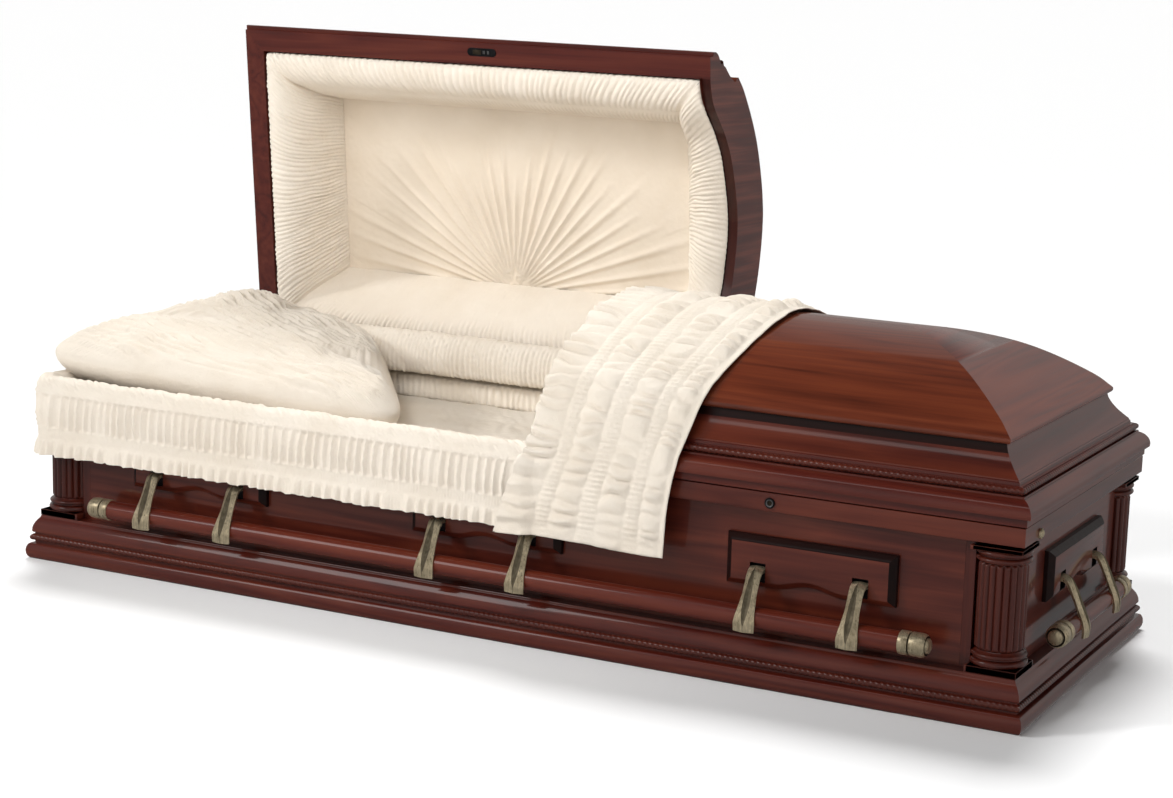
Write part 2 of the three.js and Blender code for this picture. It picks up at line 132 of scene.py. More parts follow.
class Build:
    def __init__(self):
        self.v, self.f, self.m, self.n = [], [], [], 0

    def add(self, verts, faces, mat=0):
        verts = np.asarray(verts, float).reshape(-1, 3)
        self.v.append(verts)
        base = self.n
        if isinstance(faces, np.ndarray):
            self.f += (faces + base).tolist()
        else:
            self.f += [[i + base for i in f] for f in faces]
        self.m += [mat] * len(faces)
        self.n += len(verts)

    def grid(self, P, mat=0, cu=False, cv=False, flip=False):
        P = np.asarray(P, float)
        self.add(P.reshape(-1, 3), grid_faces(P.shape[0], P.shape[1], cu, cv, flip), mat)

    def boxes(self, lo, hi, r=1.5, mat=0, seg=2):
        bm = bmesh.new()
        bmesh.ops.create_cube(bm, size=1.0)
        for v in bm.verts:
            v.co = Vector([(lo[i] + hi[i]) / 2 + v.co[i] * (hi[i] - lo[i]) for i in range(3)])
        bmesh.ops.bevel(bm, geom=list(bm.edges), offset=r, segments=seg, affect="EDGES", profile=0.6)
        bm.verts.index_update()
        self.add([tuple(v.co) for v in bm.verts], [[v.index for v in f.verts] for f in bm.faces], mat)
        bm.free()

    def make(self, name, mats, angle=30, merge=0.0, matrix=None, smooth=True):
        me = bpy.data.meshes.new(name)
        V = np.concatenate(self.v)
        if matrix is not None:
            M = np.array(matrix)
            V = V @ M[:3, :3].T + M[:3, 3]
        me.from_pydata((V * MM).tolist(), [], self.f)
        for m in mats:
            me.materials.append(m)
        me.polygons.foreach_set("material_index", np.array(self.m, np.int32))
        me.polygons.foreach_set("use_smooth", np.full(len(self.f), smooth))
        me.update()
        if merge:
            bm = bmesh.new()
            bm.from_mesh(me)
            bmesh.ops.remove_doubles(bm, verts=bm.verts, dist=merge * MM)
            bm.to_mesh(me)
            bm.free()
        me.validate()
        if smooth and angle:
            me.set_sharp_from_angle(angle=math.radians(angle))
        ob = bpy.data.objects.new(name, me)
        scene.collection.objects.link(ob)
        return ob


def normals_of(P, cu=False):
    du = np.gradient(P, axis=0)
    dv = np.gradient(P, axis=1)
    n = np.cross(du, dv)
    return n / np.maximum(np.linalg.norm(n, axis=-1, keepdims=True), 1e-9)


def resample(points, step):
    p = np.array(points, float)
    d = np.concatenate([[0], np.cumsum(np.linalg.norm(np.diff(p, axis=0), axis=1))])
    n = max(2, int(round(d[-1] / step)) + 1)
    s = np.linspace(0, d[-1], n)
    return np.stack([np.interp(s, d, p[:, k]) for k in range(p.shape[1])], 1), s


# ------------------------------------------------------------------ materials
def node(nt, kind, **inputs):
    n = nt.nodes.new(kind)
    for k, v in inputs.items():
        n.inputs[k.replace("_", " ")].default_value = v
    return n


def new_material(name):
    m = bpy.data.materials.new(name)
    m.use_nodes = True
    nt = m.node_tree
    return m, nt, nt.nodes["Principled BSDF"]


def ramp(nt, stops, interpolation="LINEAR"):
    r = nt.nodes.new("ShaderNodeValToRGB")
    r.color_ramp.interpolation = interpolation
    els = r.color_ramp.elements
    while len(els) < len(stops):
        els.new(0.5)
    for e, (p, c) in zip(els, stops):
        e.position = p
        e.color = (*c, 1.0)
    return r


def wood(name, axis, seed=0.0, dark=(0.013, 0.0019, 0.0012), mid=(0.064, 0.0092, 0.0046), light=(0.128, 0.0235, 0.0098),
         figure=0.5, rings=9.0, tone=1.0, coat=1.0, rough=0.42):
    m, nt, bsdf = new_material(name)
    L = nt.links.new
    tc = nt.nodes.new("ShaderNodeTexCoord")

    def mapped(along, across, off=0.0):
        mp = nt.nodes.new("ShaderNodeMapping")
        s = {"x": (along, across, across), "y": (across, along, across), "z": (across, across, along)}[axis]
        mp.inputs["Scale"].default_value = s
        mp.inputs["Location"].default_value = (seed * 3.1 + off, seed * 1.7 + off, seed * 2.3 + off)
        L(tc.outputs["Object"], mp.inputs["Vector"])
        return mp

    # growth figure: contour lines of a slow stretched noise
    big = node(nt, "ShaderNodeTexNoise", Scale=1.0, Detail=2.5, Roughness=0.5, Distortion=0.35)
    L(mapped(0.7, 10.0).outputs[0], big.inputs["Vector"])
    mul = nt.nodes.new("ShaderNodeMath"); mul.operation = "MULTIPLY"; mul.inputs[1].default_value = rings
    L(big.outputs["Fac"], mul.inputs[0])
    pp = nt.nodes.new("ShaderNodeMath"); pp.operation = "PINGPONG"; pp.inputs[1].default_value = 0.5
    L(mul.outputs[0], pp.inputs[0])
    # streaks and pores
    streak = node(nt, "ShaderNodeTexNoise", Scale=1.0, Detail=7.0, Roughness=0.62, Distortion=0.2)
    L(mapped(1.8, 105.0, 5.0).outputs[0], streak.inputs["Vector"])
    pore = node(nt, "ShaderNodeTexNoise", Scale=1.0, Detail=4.0, Roughness=0.7)
    L(mapped(16.0, 420.0, 9.0).outputs[0], pore.inputs["Vector"])
    cloud = node(nt, "ShaderNodeTexNoise", Scale=1.0, Detail=3.0, Roughness=0.55)
    L(mapped(1.6, 5.0, 2.0).outputs[0], cloud.inputs["Vector"])

    def mix(a, b, fac):
        x = nt.nodes.new("ShaderNodeMath"); x.operation = "MULTIPLY_ADD"
        L(a, x.inputs[0]); x.inputs[1].default_value = fac
        if b is None:
            x.inputs[2].default_value = 0.0
        else:
            L(b, x.inputs[2])
        return x.outputs[0]

    s = mix(pp.outputs[0], mix(streak.outputs["Fac"], mix(cloud.outputs["Fac"], mix(pore.outputs["Fac"], None, 0.12), 0.5), 0.55), figure)
    lo, hi = 0.30, 1.02
    mr = nt.nodes.new("ShaderNodeMapRange")
    mr.inputs["From Min"].default_value = lo
    mr.inputs["From Max"].default_value = hi
    L(s, mr.inputs["Value"])
    c = [tuple(v * tone for v in q) for q in (dark, mid, light)]
    cr = ramp(nt, [(0.0, c[0]), (0.45, c[1]), (1.0, c[2])])
    L(mr.outputs[0], cr.inputs["Fac"])
    L(cr.outputs["Color"], bsdf.inputs["Base Color"])
    rr = nt.nodes.new("ShaderNodeMapRange")
    rr.inputs["To Min"].default_value = rough - 0.06
    rr.inputs["To Max"].default_value = rough + 0.12
    L(streak.outputs["Fac"], rr.inputs["Value"])
    L(rr.outputs[0], bsdf.inputs["Roughness"])
    bsdf.inputs["Specular IOR Level"].default_value = 0.22
    bsdf.inputs["Coat Weight"].default_value = coat
    bsdf.inputs["Coat Roughness"].default_value = 0.09
    bsdf.inputs["Coat IOR"].default_value = 1.5
    bp = node(nt, "ShaderNodeBump", Strength=0.10, Distance=0.0006)
    L(pore.outputs["Fac"], bp.inputs["Height"])
    L(bp.outputs[0], bsdf.inputs["Normal"])
    # slow unevenness of the lacquer
    wv = node(nt, "ShaderNodeTexNoise", Scale=7.0, Detail=2.0, Roughness=0.5)
    L(tc.outputs["Object"], wv.inputs["Vector"])
    b2 = node(nt, "ShaderNodeBump", Strength=0.05, Distance=0.004)
    L(wv.outputs["Fac"], b2.inputs["Height"])
    L(b2.outputs[0], bsdf.inputs["Coat Normal"])
    return m


def fabric(name, base=(0.72, 0.655, 0.57), weave=1500.0, crinkle=0.75, crinkle_scale=(90, 90, 90), depth=0.0022):
    m, nt, bsdf = new_material(name)
    L = nt.links.new
    tc = nt.nodes.new("ShaderNodeTexCoord")
    mp = nt.nodes.new("ShaderNodeMapping")
    mp.inputs["Scale"].default_value = crinkle_scale
    L(tc.outputs["Object"], mp.inputs["Vector"])
    cr = node(nt, "ShaderNodeTexNoise", Scale=1.0, Detail=5.0, Roughness=0.6, Distortion=0.7)
    L(mp.outputs[0], cr.inputs["Vector"])
    fine = node(nt, "ShaderNodeTexNoise", Scale=weave, Detail=2.0, Roughness=0.6)
    L(tc.outputs["Object"], fine.inputs["Vector"])
    tone = node(nt, "ShaderNodeTexNoise", Scale=9.0, Detail=3.0, Roughness=0.5)
    L(tc.outputs["Object"], tone.inputs["Vector"])
    r = ramp(nt, [(0.25, tuple(c * k for c, k in zip(base, (0.95, 0.93, 0.90)))), (0.75, tuple(min(1, c * 1.04) for c in base))])
    L(tone.outputs["Fac"], r.inputs["Fac"])
    L(r.outputs["Color"], bsdf.inputs["Base Color"])
    bsdf.inputs["Roughness"].default_value = 0.82
    bsdf.inputs["Specular IOR Level"].default_value = 0.25
    bsdf.inputs["Sheen Weight"].default_value = 0.12
    bsdf.inputs["Sheen Roughness"].default_value = 0.5
    bsdf.inputs["Sheen Tint"].default_value = (1.0, 0.93, 0.82, 1.0)
    b1 = node(nt, "ShaderNodeBump", Strength=crinkle, Distance=depth)
    L(cr.outputs["Fac"], b1.inputs["Height"])
    b2 = node(nt, "ShaderNodeBump", Strength=0.25, Distance=0.0003)
    L(fine.outputs["Fac"], b2.inputs["Height"])
    L(b1.outputs[0], b2.inputs["Normal"])
    L(b2.outputs[0], bsdf.inputs["Normal"])
    return m


def metal(name, light=(0.98, 0.83, 0.57), dark=(0.30, 0.24, 0.145), rough=0.27, stretch=(400, 400, 12), metallic=0.8):
    m, nt, bsdf = new_material(name)
    L = nt.links.new
    tc = nt.nodes.new("ShaderNodeTexCoord")
    mp = nt.nodes.new("ShaderNodeMapping")
    mp.inputs["Scale"].default_value = stretch
    L(tc.outputs["Object"], mp.inputs["Vector"])
    br = node(nt, "ShaderNodeTexNoise", Scale=1.0, Detail=4.0, Roughness=0.6)
    L(mp.outputs[0], br.inputs["Vector"])
    pat = node(nt, "ShaderNodeTexNoise", Scale=60.0, Detail=5.0, Roughness=0.65)
    L(tc.outputs["Object"], pat.inputs["Vector"])
    mx = nt.nodes.new("ShaderNodeMath"); mx.operation = "MULTIPLY_ADD"
    L(br.outputs["Fac"], mx.inputs[0]); mx.inputs[1].default_value = 0.45
    m2 = nt.nodes.new("ShaderNodeMath"); m2.operation = "MULTIPLY"; m2.inputs[1].default_value = 0.6
    L(pat.outputs["Fac"], m2.inputs[0])
    L(m2.outputs[0], mx.inputs[2])
    r = ramp(nt, [(0.30, dark), (0.55, tuple((a + b) / 2 for a, b in zip(light, dark))), (0.72, light)])
    L(mx.outputs[0], r.inputs["Fac"])
    L(r.outputs["Color"], bsdf.inputs["Base Color"])
    bsdf.inputs["Metallic"].default_value = metallic
    rr = nt.nodes.new("ShaderNodeMapRange")
    rr.inputs["To Min"].default_value = rough - 0.08
    rr.inputs["To Max"].default_value = rough + 0.15
    L(br.outputs["Fac"], rr.inputs["Value"])
    L(rr.outputs[0], bsdf.inputs["Roughness"])
    bp = node(nt, "ShaderNodeBump", Strength=0.12, Distance=0.0004)
    L(br.outputs["Fac"], bp.inputs["Height"])
    L(bp.outputs[0], bsdf.inputs["Normal"])
    return m


WX = wood("wood_along", "x", 1.0)
WY = wood("wood_across", "y", 2.0)
WZ = wood("wood_upright", "z", 3.0)
WPX = wood("panel_long", "x", 4.0, figure=0.6, rings=7.0, tone=1.0, dark=(0.028, 0.0042, 0.0022))
WPY = wood("panel_end", "y", 5.0, figure=0.6, rings=7.0, tone=1.0, dark=(0.028, 0.0042, 0.0022))
WDX = wood("dome_long", "x", 6.0, figure=0.26, rings=13.0, tone=1.22, mid=(0.092, 0.0180, 0.0066), light=(0.165, 0.040, 0.0135))
WDY = wood("dome_end", "y", 7.5, figure=0.26, rings=10.0, tone=1.2, mid=(0.100, 0.0160, 0.0070), light=(0.175, 0.037, 0.0150))
WSX = wood("slope_long", "x", 8.2, figure=0.75, rings=6.0, tone=0.95)
# near-black wood that paints shade and dark reflection: the band under the lids' nose and the plates' side and top
# chamfers
W_PAINTED_SHADE = wood("edge_painted_shade", "x", 17.0, figure=0.2, tone=0.15, coat=0.18)
WR2 = wood("inner_edge_red", "z", 18.0, figure=0.2, tone=0.55, coat=0.3)
WMX = wood("mould_long", "x", 9.0, figure=0.4, tone=0.95, mid=(0.075, 0.0085, 0.0042))
WMY = wood("mould_end", "y", 10.0, figure=0.4, tone=0.95, mid=(0.075, 0.0085, 0.0042))
WR = wood("rope_wood", "x", 11.0, figure=0.3, tone=0.9)
WC = wood("column_wood", "z", 12.0, figure=0.3, tone=0.85)
WB = wood("bar_long", "x", 13.0, figure=0.45, tone=1.1, mid=(0.082, 0.0105, 0.0050))
WBY = wood("bar_across", "y", 14.0, figure=0.45, tone=1.1, mid=(0.082, 0.0105, 0.0050))
WI = wood("lid_inside", "x", 15.0, figure=0.5, tone=0.8, coat=0.4)
WH = wood("header_wood", "y", 16.0, figure=0.35, tone=1.25, light=(0.20, 0.048, 0.026))
BRASS = metal("antique_brass_worn")
PATINA = metal("brass_patina", light=(0.09, 0.07, 0.045), dark=(0.015, 0.012, 0.009), rough=0.5)
BLACK = metal("black_steel_satin", light=(0.035, 0.035, 0.037), dark=(0.008, 0.008, 0.009), rough=0.38, metallic=0.85)
GREY = metal("grey_steel_ring", light=(0.22, 0.22, 0.22), dark=(0.06, 0.06, 0.06), rough=0.35)
CREPE = fabric("ivory_crepe_shirred")
CREPE_L = fabric("ivory_crepe_lid", base=(0.80, 0.728, 0.632))
CREPE_X = fabric("ivory_crepe_long", crinkle=0.6, crinkle_scale=(25, 140, 140), base=(0.80, 0.73, 0.635))
CREPE_P = fabric("ivory_crepe_panel", crinkle=0.4, crinkle_scale=(60, 60, 60), base=(0.785, 0.692, 0.575))
# bed and walls: the same ivory crepe with a lighter base colour, painted light that lifts the shade inside the body
CREPE_LIT = fabric("ivory_crepe_bed_painted_light", crinkle=0.7, crinkle_scale=(50, 120, 120), base=(0.88, 0.81, 0.71))

TH = math.radians(-OPEN)
LID = Matrix.Translation((0, HINGE_Y, HINGE_Z)) @ Matrix.Rotation(TH, 4, "X") @ Matrix.Translation((0, -HINGE_Y, -HINGE_Z))


# ------------------------------------------------------------------ mitred mouldings
CORNER = [(1, -1), (1, 1), (-1, 1), (-1, -1)]          # foot-front, foot-back, head-back, head-front
SIDES = {"front": (3, 0), "foot": (0, 1), "back": (1, 2), "head": (2, 3)}


def corner_rows(prof, k, cut=None, side=1):
    p = np.array(prof, float)
    sx, sy = CORNER[k]
    x = sx * (LEN + p[:, 0])
    if cut is not None and sx != side:
        x = np.full(len(p), cut)
    return np.stack([x, sy * (WID + p[:, 0]), p[:, 1]], 1)


def sweep(b, prof, mats, sides=("front", "foot", "back", "head"), cut=None, side=1, flip=False):
    for s in sides:
        a, c = SIDES[s]
        P = np.stack([corner_rows(prof, a, cut, side), corner_rows(prof, c, cut, side)], 0)
        b.grid(P, mats[1] if s in ("foot", "head") else mats[0], flip=flip)


def rope(b, oc, zc, r, pitch, mat, sides=("front", "foot", "back", "head"), cut=None, side=1, a0=-120, a1=120, depth=1.7):
    nphi = 9
    phi = np.radians(np.linspace(a0, a1, nphi))
    for s in sides:
        along_x = s in ("front", "back")
        half = (LEN if along_x else WID) + oc
        t0, t1 = -half, half
        if cut is not None and along_x:
            t0, t1 = (cut, half) if side > 0 else (-half, cut)
        n = int((t1 - t0) / (pitch / 6.0)) + 1
        t = np.linspace(t0, t1, n)
        T, F = np.meshgrid(t, phi, indexing="ij")
        w = np.abs(np.sin(math.pi * (T / pitch + F / math.pi * 0.9)))
        rad = r - depth + depth * w ** 0.6
        o = oc + rad * np.cos(F)
        z = zc + rad * np.sin(F)
        tt = T * ((LEN if along_x else WID) + o) / half
        if cut is not None and along_x:
            near = (T - t0) / (t1 - t0) if side > 0 else (t1 - T) / (t1 - t0)
            tt = T * (1 - near) + tt * near
        if s == "front":
            P = np.stack([tt, -(WID + o), z], -1)
        elif s == "back":
            P = np.stack([-tt if cut is None else tt, WID + o, z], -1)
        elif s == "foot":
            P = np.stack([LEN + o, tt, z], -1)
        else:
            P = np.stack([-(LEN + o), -tt, z], -1)
        b.grid(P, mat, flip=(s == "back" and cut is not None))


base_prof = ([(-24, 0), (50, 0)] + arc(51.5, 15.8, 8.5, 15.8, -88, 88, 14) + [(46.5, 33), (46.5, 53), (49.6, 53.6)]
             + catmull([(50.6, 55.2), (50.7, 58.5), (49.4, 66), (46, 74), (42, 80), (39.2, 83.2), (38.4, 86)], 4) + [(37.2, 88), (-24, 88), (-24, 0)])
b = Build()
sweep(b, base_prof, (0, 1))
base = b.make("base_moulding_fine", [WMX, WMY], merge=0.01, angle=26)
b = Build()
rope(b, 47.5, 43.2, 6.8, 10.5, 0)
base_rope = b.make("base_rope", [WR], angle=60)
for o in (base, base_rope):
    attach(o, "casket_body")
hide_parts("base_moulding")

rail_prof = [(-5, 314), (39.5, 314)] + arc(39.5, 315.5, 1.5, 1.5, -90, 0, 3) + arc(39, 345, 2, 2, 0, 90, 3) + [(-5, 347), (-5, 314)]
b = Build()
sweep(b, rail_prof, (0, 1))
rail = b.make("top_rail_fine", [WPX, WPY], merge=0.01, angle=40)
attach(rail, "casket_body"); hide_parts("top_rail")

# ------------------------------------------------------------------ lids
nose = arc(-18.2, 478.5, 6.2, 6.8, -92, 28, 8)
outer_dome = catmull([nose[-1], (-17.5, 486.2), (-43, 508.5), (-100, 544.5), (-154, 571), (-210, 589.3), (-263, 601), (-300, 605.2), (-316, 606)], 7)[1:]
slope = catmull([(15.2, 420.5), (5, 430.5), (-5, 441.5), (-12.5, 452), (-17.5, 461), (-20, 468)], 4)
ovolo = catmull([(50.3, 363.6), (51.0, 367.5), (50.6, 373), (48.6, 379), (45, 384.6), (40.4, 389.2), (35.5, 392.2), (31.8, 393.8)], 4)
low_prof = [(43, RIM), (43, 362.3), (44, 363.2)] + ovolo + [(31.5, 397), (23.5, 397.5), (23.5, 411.4), (18.4, 411.8), (17.6, 417.0), (15.6, 418.2)]
cove = slope + [(-20.2, 471.4)]
PAINTED_SHADE_FROM = int(np.searchsorted([p[1] for p in cove], 455.0))
arch = catmull([(2, RIM + 0.4), (-18, 352.0), (-54, 364), (-90, 391.5), (-126, 420), (-172, 446), (-226, 464), (-280, 476), (-316, 479)], 6)
inner_prof = [(-2, RIM), (-4, 395), (-28, 432), (-42, 462), (-66, 486), (-118, 521), (-172, 547), (-236, 567), (-316, 578)]


def lid_mesh(name, side, matrix):
    cut = (CUT + 0.6) if side > 0 else (CUT - 0.6)
    sides = ("front", "foot", "back") if side > 0 else ("front", "head", "back")
    b = Build()
    sweep(b, low_prof, (0, 1), sides, cut, side)
    sweep(b, [low_prof[-1]] + cove[:PAINTED_SHADE_FROM + 1], (2, 1), sides, cut, side)
    # the top of the slope under the nose, on the front and back, gets the near-black wood: painted shade and dark
    # reflection of the overhang
    sweep(b, cove[PAINTED_SHADE_FROM:], (7, 1), sides, cut, side)
    sweep(b, [cove[-1]] + nose + outer_dome, (3, 4), sides, cut, side)
    sweep(b, [(-2, RIM), (43, RIM)], (0, 1), sides, cut, side)
    sweep(b, inner_prof, (5, 5), sides, cut, side, flip=True)
    # cut end: the board between the outer and the inner profile
    full = low_prof + cove[0:] + nose + outer_dome
    o_pts, _ = resample(full, 6.0)
    i_pts, _ = resample(inner_prof, 6.0)
    m = 90
    def pick(p):
        q = np.array(p); d = np.concatenate([[0], np.cumsum(np.linalg.norm(np.diff(q, axis=0), axis=1))])
        s = np.linspace(0, d[-1], m)
        return np.stack([np.interp(s, d, q[:, k]) for k in range(2)], 1)
    # board of the cut end: outer profile to the arched inner edge, 20 mm thick
    O, I = np.array(full), pick(arch)
    zs = np.maximum.accumulate(O[:, 1])
    inner_x = cut + side * 20.0
    for sy in (-1, 1):
        P, E, G = [], [], []
        for k in range(m):
            iz, io = I[k, 1], I[k, 0]
            t = np.clip((iz - RIM) / (479.0 - RIM), 0, 1)
            oz = RIM + (606 - RIM) * t ** 1.15
            by_z = np.interp(oz, zs, O[:, 0])
            P.append([(cut, sy * (WID + by_z), oz), (cut, sy * (WID + io), iz)])
            E.append([(cut, sy * (WID + io), iz), (inner_x, sy * (WID + io), iz)])
            G.append([(inner_x, sy * (WID + io), iz), (inner_x, sy * (WID + min(by_z, io) - 6), oz - 8)])
        fl = (sy > 0) != (side < 0)
        b.grid(np.array(P), 6, flip=fl)
        b.grid(np.array(E), 8, flip=fl)
        b.grid(np.array(G), 5, flip=fl)
    ob = b.make(name, [WMX, WMY, WSX, WDX, WDY, WI, WH, W_PAINTED_SHADE, WR2], merge=0.02, angle=27, matrix=matrix)
    return ob


def lid_rope(name, side, matrix):
    cut = (CUT + 0.6) if side > 0 else (CUT - 0.6)
    sides = ("front", "foot", "back") if side > 0 else ("front", "head", "back")
    b = Build()
    rope(b, 25.0, 404.3, 6.4, 10.5, 0, sides, cut, side)
    return b.make(name, [WR], angle=60, matrix=matrix)


foot_lid = lid_mesh("foot_lid_fine", 1, None)
foot_rope = lid_rope("foot_lid_rope", 1, None)
head_lid = lid_mesh("head_lid_fine", -1, LID)
head_rope = lid_rope("head_lid_rope", -1, LID)
for o, body in ((foot_lid, "foot_lid_body"), (foot_rope, "foot_lid_body"), (head_lid, "head_lid_body"), (head_rope, "head_lid_body")):
    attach(o, body)
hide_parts("foot_lid")
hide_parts("head_lid")

# ------------------------------------------------------------------ columns
REEDS = 20
shaft_lo, shaft_hi = 130.0, 274.0
col_prof = ([(0, 100.5), (47, 100.5)] + arc(45.5, 106.2, 4.6, 5.6, -90, 90, 8) + [(43.8, 112.2)] + arc(48.6, 115.4, 3.0, 3.2, 200, 160, 2)
            + arc(44.2, 119.3, 4.4, 3.9, -80, 85, 7) + [(42.6, 124.2), (40.5, 127)])
col_top = ([(40.5, 277)] + [(42.6, 278.4)] + arc(44.0, 283.2, 4.6, 4.4, -85, 85, 7) + [(42.0, 288.3), (42.0, 290.2)]
           + arc(44.0, 295.0, 4.6, 4.4, -85, 80, 7) + [(42.5, 299.3), (0, 299.3)])


def column(name, ex, ey, node_name):
    b = Build()
    cx, cy = ex * (LEN - 9), ey * (WID - 9)
    th = np.linspace(0, 2 * math.pi, 8 * REEDS, endpoint=False)
    for prof in (col_prof, col_top):
        p = np.array(prof)
        R, T = np.meshgrid(p[:, 0], th, indexing="ij")
        Z = np.repeat(p[:, 1][:, None], len(th), 1)
        P = np.stack([cx + R * np.cos(T), cy + R * np.sin(T), Z], -1)
        b.grid(P, 0, cv=True, flip=True)
    zs = np.concatenate([[127, 128.2], np.linspace(129, 133, 5), np.linspace(138, 266, 10), np.linspace(271, 275, 5), [275.8, 277]])
    T, Z = np.meshgrid(th, zs, indexing="xy")
    u = ((T * REEDS / (2 * math.pi)) % 1.0) * 2 - 1
    bulge = np.sqrt(np.clip(1 - (u / 0.86) ** 2, 0, 1))
    ends = np.sqrt(np.clip(1 - ((np.clip(133 - Z, 0, 5) / 5) ** 2), 0, 1)) * np.sqrt(np.clip(1 - ((np.clip(Z - 271, 0, 5) / 5) ** 2), 0, 1))
    ends[0] = ends[-1] = 0
    R = 38.8 + 4.4 * bulge * ends + 0.6 * (1 - ends)
    P = np.stack([cx + R * np.cos(T), cy + R * np.sin(T), Z], -1)
    b.grid(P, 0, cv=True, flip=True)
    V = [v for v in b.v]
    lim_x, lim_y = PX - 66 + 0.4, PY - 66 + 0.4
    for v in V:
        v[:, 0] = ex * np.maximum(ex * v[:, 0], lim_x)
        v[:, 1] = ey * np.maximum(ey * v[:, 1], lim_y)

    def slabs(out, z0, z1):
        xa, xb = sorted((ex * (LEN + out), ex * (LEN + out - 92)))
        ya, yb = sorted((ey * (WID + out), ey * (WID + out - 92)))
        # clear of the post behind: an L of two blocks
        xi, yi = sorted((ex * (LEN + out), ex * lim_x)), sorted((ey * (WID + out), ey * lim_y))
        b.boxes((xi[0], yi[0], z0), (xi[1], yi[1], z1), 1.2, 1)
        f = sorted((ey * (WID + out), ey * (PY + 0.4)))
        b.boxes((xa, f[0], z0), (xb, f[1], z1), 1.2, 1)
        g = sorted((ex * (LEN + out), ex * (PX + 0.4)))
        b.boxes((g[0], ya, z0), (g[1], yb, z1), 1.2, 1)
    slabs(38.4, 88.3, 100.6)
    slabs(37.4, 299.2, 307.2)
    ob = b.make(name, [WC, WX], angle=50)
    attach(ob, "casket_body"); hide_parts(node_name)


for ex, xn in ((-1, "head"), (1, "foot")):
    for ey, yn in ((-1, "front"), (1, "back")):
        column(f"column_{xn}_{yn}", ex, ey, f"corner_column_{xn}_{yn}")

# ------------------------------------------------------------------ handles
TURN = {"front": 0, "foot": 1, "back": 2, "head": 3}


def placing(where, x, panel):
    return Matrix.Rotation(math.radians(90 * TURN[where]), 4, "Z") @ Matrix.Translation((x, -panel - 0.3, 0))


def plate_points():
    h, lo, hi = PLATE_HALF, PLATE_LO, PLATE_HI
    pts = [(-h, lo), (-64, lo)]
    for i in range(1, 20):
        t = i / 20
        pts.append((-64 + 128 * t, lo + 5.5 * (1 - math.cos(2 * math.pi * t))))
    pts += [(64, lo), (h, lo), (h, hi), (-h, hi)]
    return np.array(pts, float)


def inset(pts, d):
    n = len(pts)
    out = []
    for i in range(n):
        a, p, c = pts[i - 1], pts[i], pts[(i + 1) % n]
        e1, e2 = (p - a) / np.linalg.norm(p - a), (c - p) / np.linalg.norm(c - p)
        n1, n2 = np.array([-e1[1], e1[0]]), np.array([-e2[1], e2[0]])
        k = n1 + n2
        k = k / max(np.dot(k, k) / 2, 1e-6)
        out.append(p + k * d)
    return np.array(out)


def plate_mesh():
    pts = plate_points()
    rings = [(0, 0), (0, 7.0), (0.5, 7.9), (3.2, 10.4), (6.4, 13.2), (9.6, 15.9), (11.0, 16.8), (12.2, 17.0)]
    b = Build()
    P = np.array([[(x, -d, z) for x, z in inset(pts, off)] for off, d in rings])
    nb = len(pts) - 2
    b.grid(P[:, :nb], 0, flip=False)
    # the right, top and left chamfers get the near-black wood: painted shade and dark reflection
    b.grid(P[:, [nb - 1, nb, nb + 1, 0]], 2, flip=False)
    last = P[-1]
    first = P[0]
    b.add(last, [list(range(len(last)))], 0)
    b.add(first, [list(range(len(first)))[::-1]], 0)
    ob = b.make("plate_tmp", [WPX, BLACK, W_PAINTED_SHADE], merge=0.001, angle=35)
    cut = Build()
    for s in (-1, 1):
        cut.boxes((ARM_X * s - 15, -PLATE_T - 6, 184), (ARM_X * s + 15, -PLATE_T + 13, 218), 1.5, 0)
    co = cut.make("plate_cut", [BLACK], angle=None)
    bm = bmesh.new()
    bm.from_mesh(ob.data)
    bmesh.ops.recalc_face_normals(bm, faces=bm.faces)
    bm.to_mesh(ob.data); bm.free()
    mod = ob.modifiers.new("pockets", "BOOLEAN")
    mod.operation = "DIFFERENCE"
    mod.solver = "EXACT"
    mod.object = co
    try:
        mod.material_mode = "TRANSFER"
    except Exception:
        pass
    dg = bpy.context.evaluated_depsgraph_get()
    me = bpy.data.meshes.new_from_object(ob.evaluated_get(dg))
    me.name = "plate"
    me.set_sharp_from_angle(angle=math.radians(16))
    bpy.data.objects.remove(ob)
    bpy.data.objects.remove(co)
    return me


PLATE = plate_mesh()


